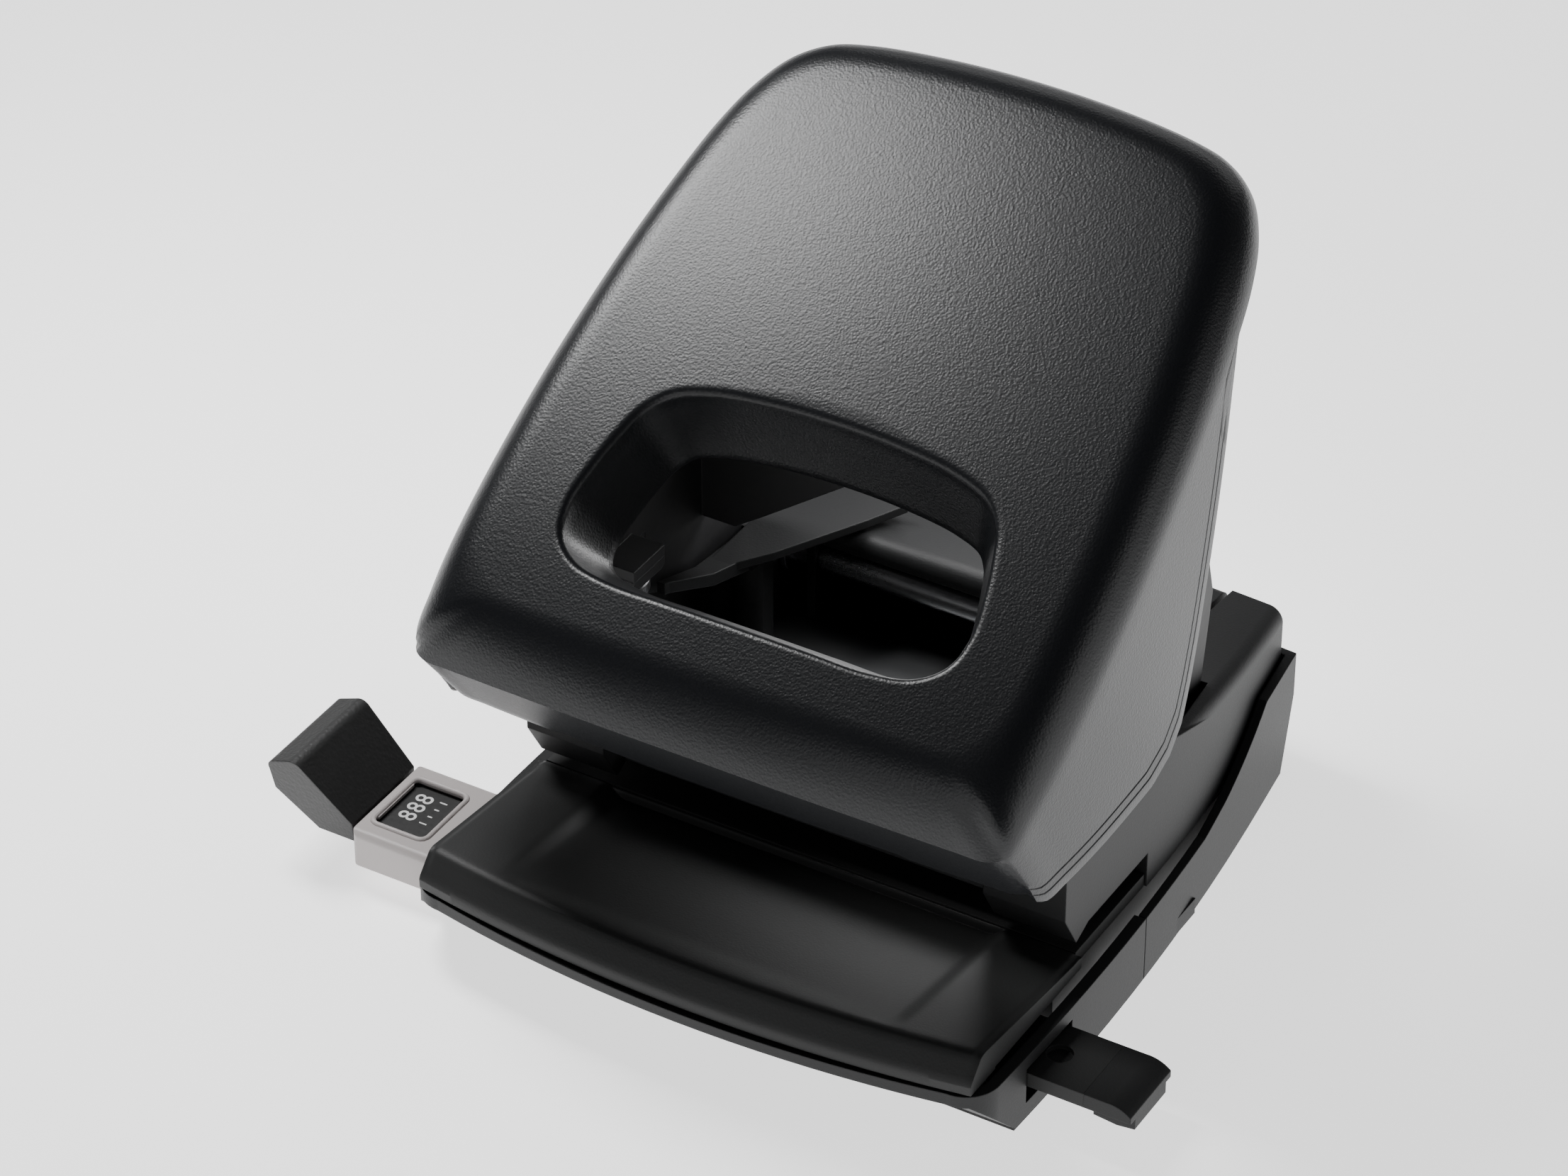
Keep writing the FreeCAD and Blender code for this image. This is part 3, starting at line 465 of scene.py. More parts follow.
HANDLE_SKIN = GrainedPlastic("handle_skin", "handle_plastic", (0.0028, 0.0032, 0.0042, 1),
                             (0.0060, 0.0066, 0.0082, 1), 0.35, 0.42, 0.044, 0.0, 0.40)
BASE_SKIN = GrainedPlastic("base_skin", "base_plastic", (0.0070, 0.0072, 0.0076, 1),
                           (0.0130, 0.0133, 0.0138, 1), 0.54, 0.38, 0.020, 0.35, 0.35)
TABLE_SKIN = GrainedPlastic("table_skin", "table_plastic", (0.0080, 0.0082, 0.0082, 1),
                            (0.0150, 0.0154, 0.0154, 1), 0.56, 0.38, 0.018, 0.30, 0.38)
SLEEVE_SKIN = GrainedPlastic("sleeve_skin", "sleeve_plastic", (0.40, 0.365, 0.36, 1),
                             (0.50, 0.465, 0.455, 1), 0.45, 0.45, 0.010, 0.35)
STOP_SKIN = GrainedPlastic("stop_skin", "stop_plastic", (0.009, 0.009, 0.009, 1),
                           (0.022, 0.022, 0.022, 1), 0.52, 0.60, 0.060, 0.45)
TRAY_SKIN = GrainedPlastic("tray_skin", "tray_plastic", (0.014, 0.014, 0.015, 1),
                           (0.024, 0.024, 0.025, 1), 0.5, 0.5, 0.012, 0.30)
BUSH_SKIN = GrainedPlastic("bush_skin", "bush_plastic", (0.50, 0.49, 0.45, 1),
                           (0.62, 0.60, 0.55, 1), 0.4, 0.6, 0.006, 0.10)
PLATE_STEEL = GroundSteel("plate_steel", "plate_steel", (0.22, 0.225, 0.23, 1), 0.38)
BRIGHT_STEEL = GroundSteel("bright_steel", "bright_steel", (0.56, 0.56, 0.57, 1), 0.22)
SPRING_STEEL = GroundSteel("spring_steel", "spring_steel", (0.50, 0.50, 0.52, 1), 0.26)
BLACK_STEEL = BlackEnamel("black_steel", "black_steel")
FOOT_RUBBER = Rubber("foot_rubber", "foot_rubber")
LABEL_INK = Ink("label_ink", "label_print", (0.006, 0.006, 0.006, 1))
WHITE_INK = Ink("white_ink", "label_print", (0.62, 0.62, 0.62, 1), 0.5)

# The finishes of the frame's slots. White ink shares the label's slot, so it isn't here.
FINISHES: list[Finish] = [HANDLE_SKIN, BASE_SKIN, TABLE_SKIN, SLEEVE_SKIN, STOP_SKIN,
                          TRAY_SKIN, BUSH_SKIN, PLATE_STEEL, BRIGHT_STEEL, SPRING_STEEL,
                          BLACK_STEEL, FOOT_RUBBER, LABEL_INK]


# ---- mesh helpers ---------------------------------------------------------------------
def smoothstep(low: float, high: float, x: float) -> float:
    """0 below low, 1 above high, and a smooth rise between.

    Args:
        low: where the rise starts.
        high: where it ends.
        x: the number to place.

    Returns:
        The share, 0 to 1.
    """
    t = min(1.0, max(0.0, (x - low) / (high - low)))
    return t * t * (3 - 2 * t)


def lerp(a: float, b: float, t: float) -> float:
    """The number a fraction t of the way from a to b.

    Args:
        a: the number at 0.
        b: the number at 1.
        t: the fraction.

    Returns:
        The number between them.
    """
    return a + (b - a) * t


def spline(points: Sequence[Flat], steps: int = 24) -> list[Flat]:
    """A smooth closed curve through points.

    Args:
        points: the points, in order.
        steps: new points per span.

    Returns:
        The curve's points.
    """
    count = len(points)
    made: list[Flat] = []
    for i in range(count):
        ps = [points[(i + k) % count] for k in (-1, 0, 1, 2)]
        knots = [0.0]
        for a, b in zip(ps, ps[1:]):
            knots.append(knots[-1] + max(1e-6, math.dist(a, b)) ** 0.5)
        for k in range(steps):
            made.append(_span_point(ps, knots, lerp(knots[1], knots[2], k / steps)))
    return made


def _span_point(ps: Sequence[Flat], knots: Sequence[float], t: float) -> Flat:
    """A point of a centripetal Catmull-Rom span between its second and third points.

    Args:
        ps: the span's four points.
        knots: their four knots.
        t: the knot value of the wanted point.

    Returns:
        The point.
    """
    def join(a: Flat, b: Flat, low: float, high: float) -> Flat:
        """The point at t on the line through a at low and b at high.

        Args:
            a: the first point.
            b: the second point.
            low: the first point's knot.
            high: the second point's knot.

        Returns:
            The point.
        """
        w = (t - low) / (high - low)
        return lerp(a[0], b[0], w), lerp(a[1], b[1], w)

    first = [join(ps[i], ps[i + 1], knots[i], knots[i + 1]) for i in range(3)]
    second = [join(first[i], first[i + 1], knots[i], knots[i + 2]) for i in range(2)]
    return join(second[0], second[1], knots[1], knots[2])


def radial(curve: Sequence[Flat], centre: Flat, angles: Sequence[float]) -> list[Flat]:
    """Where rays from a centre meet a closed curve round it.

    Args:
        curve: the closed curve, in counter-clockwise order.
        centre: the rays' start.
        angles: the rays' directions.

    Returns:
        One point per ray.
    """
    polar = sorted((math.atan2(y - centre[1], x - centre[0]), math.dist((x, y), centre))
                   for x, y in curve)
    polar = ([(a - math.tau, r) for a, r in polar[-2:]] + polar
             + [(a + math.tau, r) for a, r in polar[:2]])
    found = []
    for angle in angles:
        angle = math.atan2(math.sin(angle), math.cos(angle))
        for (a0, r0), (a1, r1) in zip(polar, polar[1:]):
            if a0 <= angle <= a1 and a1 > a0:
                r = lerp(r0, r1, (angle - a0) / (a1 - a0))
                break
        found.append((centre[0] + r * math.cos(angle), centre[1] + r * math.sin(angle)))
    return found


def outward(loop: Sequence[Flat]) -> list[Flat]:
    """Unit normals of a counter-clockwise loop, pointing out of it.

    Args:
        loop: the loop's points.

    Returns:
        One normal per point.
    """
    count = len(loop)
    normals = []
    for i in range(count):
        (x0, y0), (x1, y1) = loop[i - 1], loop[(i + 1) % count]
        long = math.hypot(x1 - x0, y1 - y0) or 1.0
        normals.append(((y1 - y0) / long, -(x1 - x0) / long))
    return normals


def skin(name: str, rings: Sequence[Ring], loop: bool = False) -> bpy.types.Object:
    """A mesh through closed rings of points, in millimetres.

    Args:
        name: the new object's name.
        rings: rings with the same number of points.
        loop: whether the last ring joins the first; otherwise a face closes each end.

    Returns:
        The object, in metres.
    """
    across = len(rings[0])
    points = [tuple(c * MM for c in p) for ring in rings for p in ring]
    faces = []
    for i in range(len(rings) if loop else len(rings) - 1):
        j = (i + 1) % len(rings)
        for k in range(across):
            m = (k + 1) % across
            faces.append((i * across + k, i * across + m, j * across + m, j * across + k))
    if not loop:
        faces.append(tuple(range(across))[::-1])
        faces.append(tuple((len(rings) - 1) * across + k for k in range(across)))
    mesh = bpy.data.meshes.new(name)
    mesh.from_pydata(points, [], faces)
    mesh.validate()
    mesh.update()
    piece = bpy.data.objects.new(name, mesh)
    bpy.context.scene.collection.objects.link(piece)
    return piece


def finish_piece(piece: bpy.types.Object, body: Body, finish: Finish,
                 materials: Materials, sharp: float = 35.0) -> None:
    """Dress a new piece, shade it smooth and fix it to its body.

    Args:
        piece: the new piece.
        body: the body that it rides on.
        finish: one of the finishes.
        materials: the made materials by name.
        sharp: edges over this many degrees stay crisp.
    """
    bpy.context.view_layer.update()
    mesh = piece.data
    for polygon in mesh.polygons:
        polygon.use_smooth = True
    mesh.set_sharp_from_angle(angle=math.radians(sharp))
    mesh.materials.clear()
    mesh.materials.append(materials[finish.name])
    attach(piece, body.value)
    LOG.info("made %s on %s", piece.name, body.value)


# ---- handle ---------------------------------------------------------------------------
@dataclass
class Handle:
    """The sloping handle: one moulded shell with a funnel-shaped finger window.

    It is worked out square to its front, as x, distance up the slope, and depth below
    a reference plane, in millimetres.
    """

    slope: float = math.radians(30.5)  # the front's angle above level
    origin: Flat = (-47.2, 61.5)  # Y and Z where s and depth are 0
    centre: Flat = (0.0, 42.0)  # x and s where the rays that set out the rings start
    count: int = 440  # points per ring
    wall: float = 2.4  # thickness
    side_round: float = 8.0  # depth of the rounded front edge
    bow: float = 1.4  # fall of the front, bow_half from its middle
    bow_half: float = 52.0
    crown: Flat = (66.3, -2.77)  # s and depth of the front's highest point
    crown_spread: float = 1802.0  # distance squared over fall, away from it
    notch: float = 1.3  # recess in the chin's lower edge
    notch_side: Flat = (29.6, 31.2)  # x where the recess ends
    notch_top: Flat = (3.0, 5.0)  # s where it ends
    chin_round: float = 5.83  # depth of the rounded edge at the chin
    chin_bow: float = 1.45  # how much deeper it is 50 from the middle
    chin_lean: float = 0.1245  # slope of the chin's wall
    hem_band: float = 5.2  # height of the grooved band above the hem
    hem_round: float = 0.45
    groove: float = 0.16  # depth of its two grooves
    rim_round: float = 1.5  # rounding of the window's rim
    rim_round_inside: float = 2.6  # the same on the inner skin
    funnel_taper: float = 4.2  # how far the window's funnel closes in
    funnel_depth: float = 10.5  # how far it goes down below the rim's rounding
    outline: list[Flat] = field(default_factory=lambda: [
        (0, -0.47), (16, -0.40), (32, 0.0), (44, 0.45), (48.6, 0.75), (50.8, 2.0),
        (51.9, 4.6), (52.4, 10), (52.9, 18), (53.0, 28), (52.8, 38), (52.3, 50), (51.4, 62),
        (50.1, 75), (48.3, 88), (46.2, 99.5), (43.6, 107.6), (39.6, 114.2), (34.6, 117.8),
        (28.4, 119.5), (15, 121.0), (0, 121.5)])
    inner: list[Flat] = field(default_factory=lambda: [
        (0, 11.3), (18, 11.3), (32, 11.4), (38.5, 11.8), (42.0, 13.6), (44.0, 17.0),
        (44.8, 22), (45.0, 30), (44.8, 38), (44.3, 50), (43.4, 62), (42.1, 75), (40.3, 88),
        (38.4, 98), (35.8, 105.2), (31.6, 109.8), (25.6, 111.8), (14, 113.0), (0, 113.5)])
    window: list[Flat] = field(default_factory=lambda: [
        (0, 19.4), (12, 19.4), (22.5, 19.5), (29.2, 20.9), (33.0, 24.2), (34.2, 29.2),
        (33.4, 35.5), (32.0, 41.4), (30.2, 46.4), (27.0, 50.0), (21.0, 52.2), (11, 53.5),
        (0, 53.9)])
    hem: list[Flat] = field(default_factory=lambda: [
        (-5, 24.0), (1.8, 24.1), (5.2, 28.6), (12.0, 32.4), (32.5, 43.3), (38.5, 44.6),
        (43.5, 43.6), (48.0, 40.6), (54.0, 36.2), (96.8, 2.9), (99.0, 3.1), (103.0, 4.6),
        (121.0, 7.6), (140, 8.6)])
    _out: list[Flat] = field(init=False, repr=False)
    _in: list[Flat] = field(init=False, repr=False)
    _win: list[Flat] = field(init=False, repr=False)
    _out_n: list[Flat] = field(init=False, repr=False)
    _win_n: list[Flat] = field(init=False, repr=False)
    _chin: list[float] = field(init=False, repr=False)

    def __post_init__(self) -> None:
        """Find the outlines' matching points, their normals and the chin's share."""
        dense = spline(self._both_sides(self.outline))
        angles = self._even_angles(dense)
        self._out = radial(dense, self.centre, angles)
        self._in = radial(spline(self._both_sides(self.inner)), self.centre, angles)
        self._win = radial(spline(self._both_sides(self.window)), self.centre, angles)
        self._out_n, self._win_n = outward(self._out), outward(self._win)
        self._chin = [smoothstep(0.25, 0.9, -n[1]) * (1 - smoothstep(6, 14, p[1]))
                      for p, n in zip(self._out, self._out_n)]

    def _even_angles(self, dense: Sequence[Flat]) -> list[float]:
        """Directions from the centre to points spread evenly along a curve.

        Args:
            dense: the closed curve's points.

        Returns:
            One angle per point of a ring.
        """
        lengths = [math.dist(a, b) for a, b in zip(dense, dense[1:] + dense[:1])]
        total, run, wanted, angles = sum(lengths), 0.0, 0, []
        for (x, s), step in zip(dense, lengths):
            while wanted < self.count and run + step >= total * wanted / self.count:
                angles.append(math.atan2(s - self.centre[1], x - self.centre[0]))
                wanted += 1
            run += step
        return angles

    @staticmethod
    def _both_sides(half: Sequence[Flat]) -> list[Flat]:
        """A closed outline from its right half, bottom middle to top middle.

        Args:
            half: the right half's points.

        Returns:
            The whole outline's points.
        """
        return list(half) + [(-x, s) for x, s in reversed(half[1:-1])]

    def front(self, x: float, s: float) -> float:
        """Depth of the bowed front below the reference plane.

        Args:
            x: distance to the right of the middle.
            s: distance up the slope.

        Returns:
            The depth.
        """
        sag = (s - self.crown[0]) ** 2 / self.crown_spread
        return self.crown[1] + sag + self.bow * (x / self.bow_half) ** 2

    def hem_depth(self, x: float, s: float) -> float:
        """Depth of the shell's lower edge below the reference plane.

        Args:
            x: distance to the right of the middle.
            s: distance up the slope.

        Returns:
            The depth.
        """
        for (s0, d0), (s1, d1) in zip(self.hem, self.hem[1:]):
            if s0 <= s <= s1:
                depth = lerp(d0, d1, (s - s0) / (s1 - s0))
                break
        relief = self.notch * (1 - smoothstep(*self.notch_side, abs(x)))
        return depth - relief * (1 - smoothstep(*self.notch_top, s))

    def world(self, x: float, s: float, d: float) -> Point:
        """From slope coordinates to the row frame.

        Args:
            x: distance to the right of the middle.
            s: distance up the slope.
            d: depth below the reference plane.

        Returns:
            The point in the row frame, in millimetres.
        """
        sin, cos = math.sin(self.slope), math.cos(self.slope)
        return (x, self.origin[0] + s * cos + d * sin, self.origin[1] + s * sin - d * cos)

    def rings(self) -> list[Ring]:
        """Every ring of the shell, from the outer hem over the front to the inner hem.

        Returns:
            The rings, in the row frame.
        """
        rings = self._wall_rings(0.0)
        rings += [self._edge_ring(t, 0.0) for t in (0.0, .1, .2, .32, .45, .58, .7, .8, .9)]
        rings += [self._front_ring(t, 0.0) for t in
                  (0.0, .06, .13, .2, .3, .4, .5, .6, .7, .78, .85, .91, .96, 1.0)]
        for k in range(1, 6):
            turn = math.pi / 2 * k / 5
            rings.append(self._window_ring(self.rim_round * (1 - math.sin(turn)),
                                           self.rim_round * (1 - math.cos(turn))))
        rings += [self._window_ring(-self.funnel_taper * t,
                                    self.rim_round + self.funnel_depth * t)
                  for t in (.15, .3, .45, .6, .75, .9, 1.0)]
        rings += [self._window_ring(grow, depth) for grow, depth in
                  ((-self.funnel_taper, 12.5), (-3.4, 12.8), (-2.4, 12.4))]
        rings += [self._window_ring(lerp(-2.4, 2.2, t), lerp(12.4, self.wall + 1.0, t))
                  for t in (.25, .5, .75, 1.0)]
        rings += [self._front_ring(t, self.wall) for t in (.93, .8, .6, .4, .2, 0.0)]
        rings += [self._edge_ring(t, self.wall) for t in (.8, .6, .4, .2, 0.0)]
        rings += self._wall_rings(self.wall)[::-1]
        return [[self.world(*p) for p in ring] for ring in rings]

    def _wall_start(self, i: int, inside: float) -> Point:
        """Where the rounded front edge meets the upright wall at outline point i.

        Args:
            i: the outline point's number.
            inside: distance in from the outer skin.

        Returns:
            The point, in slope coordinates.
        """
        (x, s), (nx, ns) = self._out[i], self._out_n[i]
        x, s = x - nx * inside, s - ns * inside
        chin = self._chin[i]
        depth = lerp(self.side_round, self.chin_round + self.chin_bow * (x / 50) ** 2, chin)
        shift = inside * chin * 0.4 - inside * (1 - chin) * 0.2
        return x, s, self.front(x, s) + depth + shift

    def _wall_rings(self, inside: float) -> list[Ring]:
        """Rings of the upright walls, hem first.

        Args:
            inside: distance in from the outer skin.

        Returns:
            The rings, in slope coordinates.
        """
        turn_in = -1.0 if inside else 1.0
        steps = [(0.0, 0.0, turn_in * self.hem_round), (0.0, 0.12, turn_in * 0.12),
                 (0.0, self.hem_round, 0.0)]
        if not inside:
            for up in (2.75, 4.95):
                steps += [(0.0, up - 0.25, 0.0), (0.0, up, self.groove),
                          (0.0, up + 0.25, 0.0)]
        steps += [(t, self.hem_band * (1 - t), 0.0) for t in (.15, .3, .45, .6, .75, .9)]
        made = []
        for share, up, dent in steps:
            ring = []
            for i in range(self.count):
                x, s, top = self._wall_start(i, inside)
                nx, ns = self._out_n[i]
                low = max(self.hem_depth(*self._out[i]), top + 0.3)
                room = low - top
                climb = min(up, room * 0.9 * (up / self.hem_band))
                depth = lerp(low - climb, top, share)
                sunk = dent
                if dent == self.groove:
                    sunk = dent * (1 - self._chin[i]) * smoothstep(7, 12, room)
                lean = self._chin[i] * (depth - top) * self.chin_lean
                ring.append((x - nx * sunk, s - ns * sunk + lean, depth))
            made.append(ring)
        return made

    def _edge_ring(self, t: float, inside: float) -> Ring:
        """A ring of the rounded front edge, from the wall (0) to the front (1).

        Args:
            t: how far round the edge.
            inside: distance in from the outer skin.

        Returns:
            The ring, in slope coordinates.
        """
        ring = []
        for i in range(self.count):
            x0, s0, low = self._wall_start(i, inside)
            x1, s1 = self._in[i]
            chin = self._chin[i]
            turn = math.pi / 2 * t
            share = lerp(1 - math.cos(turn), t, chin)
            fall = lerp(1 - math.sin(turn), (1 - t) ** 2, chin)
            x, s = lerp(x0, x1, share), lerp(s0, s1, share)
            top = self.front(x, s) + inside
            start = low - (self.front(x0, s0) + inside)
            ring.append((x, s, top + start * fall))
        return ring

    def _front_ring(self, t: float, inside: float) -> Ring:
        """A ring of the front, from its rounded edge (0) to the window's rim (1).

        Args:
            t: how far across the front.
            inside: distance in from the outer skin.

        Returns:
            The ring, in slope coordinates.
        """
        grow = self.rim_round_inside if inside else self.rim_round
        ring = []
        for (x0, s0), (xw, sw), (nx, ns) in zip(self._in, self._win, self._win_n):
            x = lerp(x0, xw + nx * grow, t)
            s = lerp(s0, sw + ns * grow, t)
            ring.append((x, s, self.front(x, s) + inside))
        return ring

    def _window_ring(self, grow: float, depth: float) -> Ring:
        """A ring round the window, grown outward, at a depth below the front.

        Args:
            grow: distance outward from the window's edge.
            depth: depth below the front.

        Returns:
            The ring, in slope coordinates.
        """
        return [(x + nx * grow, s + ns * grow, self.front(x, s) + depth)
                for (x, s), (nx, ns) in zip(self._win, self._win_n)]

    def build(self, materials: Materials) -> None:
        """Make the shell and dress it.

        Args:
            materials: the made materials by name.
        """
        shell = skin("handle_moulding", self.rings(), loop=True)
        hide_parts("handle_shell")
        finish_piece(shell, Body.HANDLE, HANDLE_SKIN, materials, 32.0)


# ---- paper table ----------------------------------------------------------------------
@dataclass
class PaperTable:
    """The moulded table in front of the slot, with a shallow scoop, in millimetres."""

    half: float = 49.0  # half width
    bulge: float = 4.5  # how far the front bows out in the middle
    rear: float = -11.0  # Y of the rear edge
    stations: int = 160  # steps across the width
    rows: int = 36  # steps along the upper face
    height: float = 16.0  # Z of the level part
    level_to: float = -14.0  # Y where the face starts to rise
    rise: float = 0.1095  # slope of the rise
    scoop_height: float = 18.35  # Z of the scoop's floor at scoop_front
    scoop_front: float = -40.5  # Y where the scoop has its full depth
    scoop_fall: float = -0.152  # slope of the scoop's floor
    scoop_side: Flat = (32.8, 36.6)  # x where its side ends
    scoop_lip: float = -45.0  # Y where it runs out
    bead: float = 0.35  # drop along the side edge
    bead_side: Flat = (47.4, 48.6)  # x where that drop is
    crease: float = -42.6  # Y of the front crease at the sides
    crease_in: float = 1.2  # where its rounding starts, behind it
    underside: float = 13.1  # Z under the front lip
    seat: float = 13.5  # Z under the rest
    seat_front: float = -38.2  # Y where the lip ends
    front_reach: float = 3.1  # how far the front leans out below the crease
    roll: Flat = (1.9, 0.95)  # reach and drop of the crease's rounding

    def top(self, x: float, y: float) -> float:
        """Height of the table's upper face.

        Args:
            x: distance to the right of the middle.
            y: distance behind the punches.

        Returns:
            The height.
        """
        flat = self.height + max(0.0, self.level_to - y) * self.rise
        scoop = self.scoop_height + (y - self.scoop_front) * self.scoop_fall
        side = 1 - smoothstep(*self.scoop_side, abs(x))
        drop = max(0.0, flat - scoop) * side * smoothstep(self.scoop_lip, self.scoop_front, y)
        return flat - drop - self.bead * smoothstep(*self.bead_side, abs(x))

    def section(self, x: float) -> Ring:
        """Closed outline of the table at x.

        Args:
            x: distance to the right of the middle.

        Returns:
            The outline's points.
        """
        bow = self.bulge * (1 - (x / self.half) ** 2)
        crease = self.crease - bow
        ring: Ring = [(x, self.rear, self.seat), (x, self.rear, self.height - 0.5)]
        for k in range(self.rows + 1):
            y = lerp(self.rear - 0.2, crease + self.crease_in, k / self.rows)
            ring.append((x, y, self.top(x, y) - (0.2 if k == 0 else 0.0)))
        height = self.top(x, crease + self.crease_in)
        for turn in (0.25, 0.5, 0.75, 1.0):
            ring.append((x, crease + self.crease_in - self.roll[0] * math.sin(turn * 0.9),
                         height - self.roll[1] * (1 - math.cos(turn * 1.1)) + 0.08 * turn))
        foot = crease - self.front_reach
        start = ring[-1]
        for t in (.25, .5, .75, .93):
            ring.append((x, lerp(start[1], foot, t), lerp(start[2], 15.2, t)))
        ring += [(x, foot - 0.1, 14.8), (x, foot, self.underside + 0.1),
                 (x, foot + 3.0, self.underside), (x, self.seat_front, self.underside),
                 (x, self.seat_front, self.seat)]
        return ring

    def build(self, materials: Materials) -> None:
        """Make the table and dress it.

        Args:
            materials: the made materials by name.
        """
        places = [-self.half + 0.02]
        places += [self.half * math.sin(math.pi / 2 * (2 * k / self.stations - 1)) * 0.999
                   for k in range(self.stations + 1)]
        places.append(self.half - 0.02)
        table = skin("table_moulding", [self.section(x) for x in sorted(set(places))])
        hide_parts("paper_table")
        finish_piece(table, Body.BASE, TABLE_SKIN, materials, 28.0)


# ---- springs --------------------------------------------------------------------------
@dataclass
class ReturnSprings:
    """The coil spring round each punch, built at one fixed length; it does not shorten as the
    punch goes down.

    Lengths are in millimetres.
    """

    radius: float = 3.1  # to the wire's middle
    wire: float = 0.42  # the wire's radius
    turns: float = 5.5
    sides: int = 12  # points round the wire
    steps_per_turn: int = 28
    low: float = 27.1  # Z of the lower end
    high: float = 45.85  # Z of the upper end
    closed_share: float = 0.45  # how strongly the end turns close up

    def coil(self, x: float) -> list[Ring]:
        """Rings along the coil, with closed end turns.

        Args:
            x: where the coil's axis stands.

        Returns:
            The rings.
        """
        steps = int(self.turns * self.steps_per_turn)
        rings = []
        for k in range(steps + 1):
            t = k / steps
            turn = t * self.turns * math.tau
            climb = lerp(t, smoothstep(0.0, 1.0, t), self.closed_share)
            z = lerp(self.low + self.wire, self.high - self.wire, climb)
            ring = []
            for j in range(self.sides):
                a = math.tau * j / self.sides
                reach = self.radius + self.wire * math.cos(a)
                ring.append((x + reach * math.cos(turn), reach * math.sin(turn),
                             z + self.wire * math.sin(a)))
            rings.append(ring)
        return rings

    def build(self, materials: Materials) -> None:
        """Make both springs and dress them.

        Args:
            materials: the made materials by name.
        """
        for side in ("left", "right"):
            node = "return_spring_" + side
            low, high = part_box(node)
            x = (low.x + high.x) / 2 / MM
            piece = skin("coil_" + side, self.coil(x))
            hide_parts(node)
            finish_piece(piece, Body.BASE, SPRING_STEEL, materials, 60.0)
            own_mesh(piece)


# ---- guide ----------------------------------------------------------------------------
@dataclass
class ScaleMarks:
    """Printed figures and ticks that show through the sleeve's window, in millimetres."""

    figures: str = "888"
    height: float = 3.5  # of the figures
    tick: float = 0.3  # a tick's width
    film: float = 0.02  # height of the print above the label
    inset: float = 5.2  # from the sleeve's outer end to the figures
    beside: float = 0.9  # from the label's middle towards the rear
    spacing: float = 1.12  # between figures, against the usual 1
    tick_gap: float = 2.0  # from tick to tick
    tick_away: float = 3.1  # from the figures to the ticks
    tick_lengths: tuple[float, ...] = (1.1, 0.6, 0.6, 1.1)

    def build(self, materials: Materials) -> None:
        """Print the setting and its four ticks on the label.

        Args:
            materials: the made materials by name.
        """
        low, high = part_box("scale_label")
        face = high.z / MM + self.film
        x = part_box("guide_sleeve")[0].x / MM + self.inset
        y = (low.y + high.y) / 2 / MM + self.beside
        words = bpy.data.curves.new("scale_figures", "FONT")
        words.body = self.figures
        words.size = self.height * 1.25 * MM
        words.align_x = "CENTER"
        words.align_y = "CENTER"
        words.extrude = self.film * MM
        words.offset = self.film * MM
        words.space_character = self.spacing
        holder = bpy.data.objects.new("scale_figures_text", words)
        bpy.context.scene.collection.objects.link(holder)
        holder.location = (x * MM, y * MM, face * MM)
        holder.rotation_euler = (0, 0, math.pi / 2)
        bpy.context.view_layer.update()
        mesh = bpy.data.meshes.new_from_object(holder)
        mesh.transform(holder.matrix_world)
        bpy.data.objects.remove(holder)
        piece = bpy.data.objects.new("scale_figures", mesh)
        bpy.context.scene.collection.objects.link(piece)
        finish_piece(piece, Body.GUIDE, WHITE_INK, materials)
        for k, long in enumerate(self.tick_lengths):
            row = y + (k - 1.5) * self.tick_gap
            self._tick("scale_tick_" + str(k), (x + self.tick_away, row, face), long, materials)

    def _tick(self, name: str, middle: Point, long: float, materials: Materials) -> None:
        """Print one tick with rounded ends.

        Args:
            name: the piece's name.
            middle: the tick's middle.
            long: its length between the rounded ends.
            materials: the made materials by name.
        """
        x, y, z = middle
        rings = []
        for level in (-self.film, self.film):
            ring = []
            for k in range(16):
                a = math.tau * k / 16
                end = long / 2 if math.cos(a) > 0 else -long / 2
                ring.append((x + end + self.tick / 2 * math.cos(a),
                             y + self.tick / 2 * math.sin(a), z + level))
            rings.append(ring)
        piece = skin(name, rings)
        finish_piece(piece, Body.GUIDE, WHITE_INK, materials)


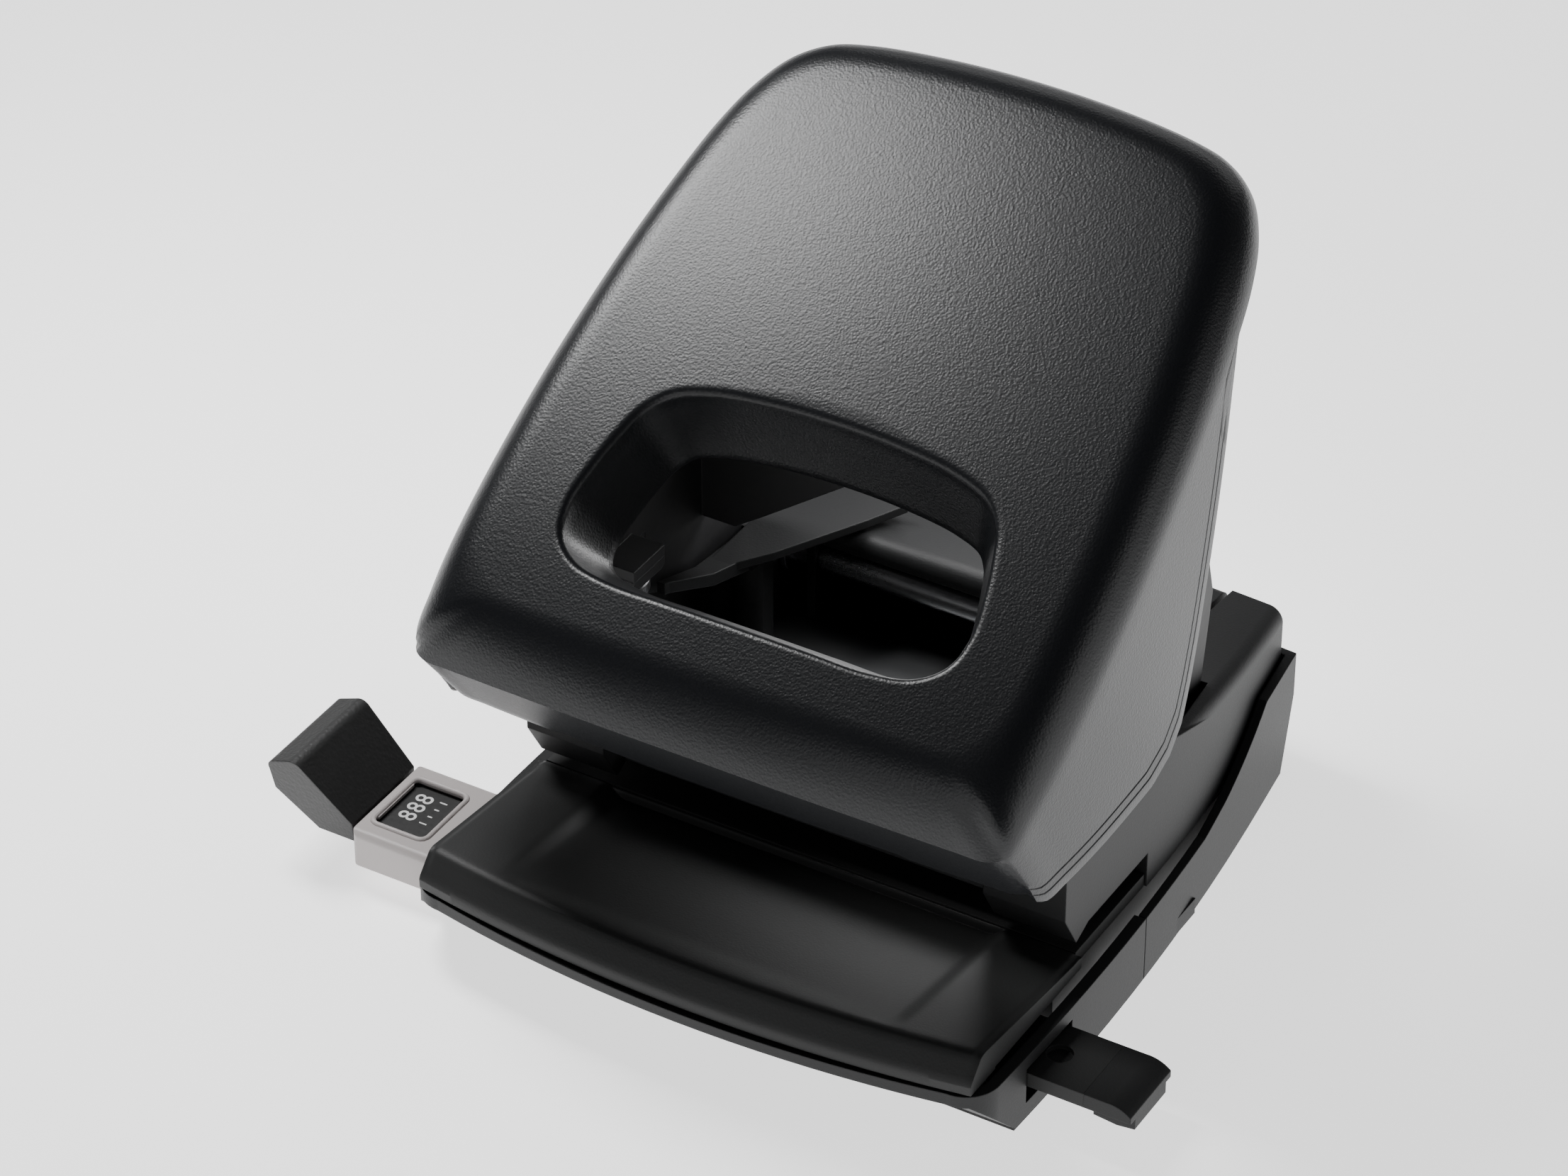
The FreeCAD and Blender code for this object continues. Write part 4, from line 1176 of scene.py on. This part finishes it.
@dataclass
class SleeveRim:
    """The raised frame round the window in the guide bar's light sleeve, in millimetres."""

    window: tuple[Flat, Flat] = ((-66.75, -32.2), (-57.55, -19.8))  # two corners
    wide: float = 1.0  # the frame's width
    high: float = 0.4  # how far it stands up
    corner: float = 0.9  # the window's corner radius
    sunk: float = 0.3  # how deep the frame is let in
    arc: int = 6  # steps per corner

    def _loop(self, grow: float, z: float) -> Ring:
        """A rounded rectangle round the window, grown outward, at height z.

        Args:
            grow: distance outward from the window's edge.
            z: the height.

        Returns:
            The rectangle's points.
        """
        (x0, y0), (x1, y1) = self.window
        radius = self.corner + grow
        ring: Ring = []
        for quarter, (x, y) in enumerate(((x1, y1), (x0, y1), (x0, y0), (x1, y0))):
            cx = x - self.corner if quarter in (0, 3) else x + self.corner
            cy = y - self.corner if quarter in (0, 1) else y + self.corner
            for k in range(self.arc + 1):
                a = math.pi / 2 * (quarter + k / self.arc)
                ring.append((cx + radius * math.cos(a), cy + radius * math.sin(a), z))
        return ring

    def build(self, materials: Materials) -> None:
        """Make the frame, sunk a little into the sleeve's top.

        Args:
            materials: the made materials by name.
        """
        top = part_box("guide_sleeve")[1].z / MM
        profile = ((0.05, -self.sunk), (self.wide, -self.sunk), (self.wide, 0.05),
                   (self.wide - 0.15, 0.28), (self.wide - 0.4, self.high),
                   (0.45, self.high), (0.2, 0.28), (0.05, 0.05))
        rings = [self._loop(grow, top + up) for grow, up in profile]
        rim = skin("sleeve_rim", rings, loop=True)
        finish_piece(rim, Body.BASE, SLEEVE_SKIN, materials, 50.0)


# ---- frame nodes ----------------------------------------------------------------------
@dataclass
class CarriedParts:
    """The pieces whose shape is right as it stands, dressed by their record's slot."""

    def build(self, materials: Materials) -> None:
        """Give each carried node its finish.

        Args:
            materials: the made materials by name.
        """
        by_slot = {finish.slot: materials[finish.name] for finish in FINISHES}
        for part in frame["record"]["subparts"]:
            piece = frame["nodes"][part["node"]]
            piece.data.materials.clear()
            piece.data.materials.append(by_slot[part["material_slot"]])
            LOG.info("dressed %s", piece.name)


# ---- studio ---------------------------------------------------------------------------
@dataclass(frozen=True)
class Softbox:
    """One rectangular lamp: where it is, what it faces, its sides and its power."""

    name: str
    place: Point
    at: Point
    wide: float
    high: float
    power: float


SOFTBOXES = [
    Softbox("key", (-0.196, 0.032, 0.300), (-0.042, 0.026, 0.108), 0.075, 0.17, 1.25),
    Softbox("right_wall", (0.95, 0.15, 0.30), (0.05, 0.01, 0.06), 0.5, 0.6, 1.6),
    Softbox("rear_rim", (-0.10, 0.80, 0.42), (0, 0.05, 0.10), 0.8, 0.25, 0.8),
    Softbox("front_low", (0.10, -0.85, 0.30), (0, -0.03, 0.02), 0.7, 0.25, 1.2),
    Softbox("under_handle", (-0.005, 0.064, 0.076), (-0.020, 0.042, 0.034), 0.04, 0.03, 0.05)]


@dataclass
class Studio:
    """Pale floor, soft lights and the camera."""

    camera_place: Point = (0.35224, -0.61168, 0.56136)
    azimuth: float = 30.654  # turn to the right, in degrees
    down: float = 54.611  # tilt up from straight down, in degrees
    lens: float = 130.2  # focal length, in millimetres
    sensor: float = 36.0
    floor_reach: float = 6.0
    sky: Colour = (0.9, 0.93, 1.0, 1)
    sky_strength: float = 0.04

    def build(self) -> None:
        """Set up everything round the object."""
        self._floor()
        for softbox in SOFTBOXES:
            self._light(softbox)
        world = bpy.data.worlds.new("studio")
        world.use_nodes = True
        sky = world.node_tree.nodes["Background"]
        sky.inputs["Color"].default_value = self.sky
        sky.inputs["Strength"].default_value = self.sky_strength
        bpy.context.scene.world = world
        self._camera()

    def _floor(self) -> None:
        """A wide pale floor that fills the view."""
        mesh = bpy.data.meshes.new("floor")
        reach = self.floor_reach
        mesh.from_pydata([(-reach, -reach, 0), (reach, -reach, 0), (reach, reach, 0),
                          (-reach, reach, 0)], [], [(0, 1, 2, 3)])
        floor = bpy.data.objects.new("floor", mesh)
        bpy.context.scene.collection.objects.link(floor)
        graph = Graph("floor_paint")
        paper = graph.noise(40.0, 3.0)
        graph.set(Base_Color=graph.mix(paper, grey(0.86), grey(0.90)), Roughness=0.9,
                  Specular_IOR_Level=0.0, Emission_Color=grey(1.0), Emission_Strength=1.5)
        mesh.materials.append(graph.material)

    @staticmethod
    def _light(softbox: Softbox) -> None:
        """Hang one softbox.

        Args:
            softbox: what to hang.
        """
        lamp = bpy.data.lights.new(softbox.name, "AREA")
        lamp.shape = "RECTANGLE"
        lamp.size = softbox.wide
        lamp.size_y = softbox.high
        lamp.energy = softbox.power
        holder = bpy.data.objects.new(softbox.name, lamp)
        bpy.context.scene.collection.objects.link(holder)
        holder.location = softbox.place
        aim = Vector(softbox.at) - Vector(softbox.place)
        holder.rotation_euler = aim.to_track_quat("-Z", "Y").to_euler()

    def _camera(self) -> None:
        """The camera at the object's usual catalogue angle."""
        lens = bpy.data.cameras.new("camera")
        lens.lens = self.lens
        lens.sensor_width = self.sensor
        lens.dof.use_dof = False
        holder = bpy.data.objects.new("camera", lens)
        holder.location = self.camera_place
        holder.rotation_euler = (math.radians(self.down), 0, math.radians(self.azimuth))
        bpy.context.scene.collection.objects.link(holder)
        bpy.context.scene.camera = holder


def main() -> None:
    """Build the studio and every sub-assembly in order."""
    logging.basicConfig(level=logging.INFO, format="%(name)s: %(message)s")
    materials = {finish.name: finish.make() for finish in FINISHES + [WHITE_INK]}
    Studio().build()
    CarriedParts().build(materials)
    for assembly in (PaperTable(), Handle(), ReturnSprings(), ScaleMarks(), SleeveRim()):
        assembly.build(materials)
    bpy.context.view_layer.update()


if __name__ == "__main__":
    main()
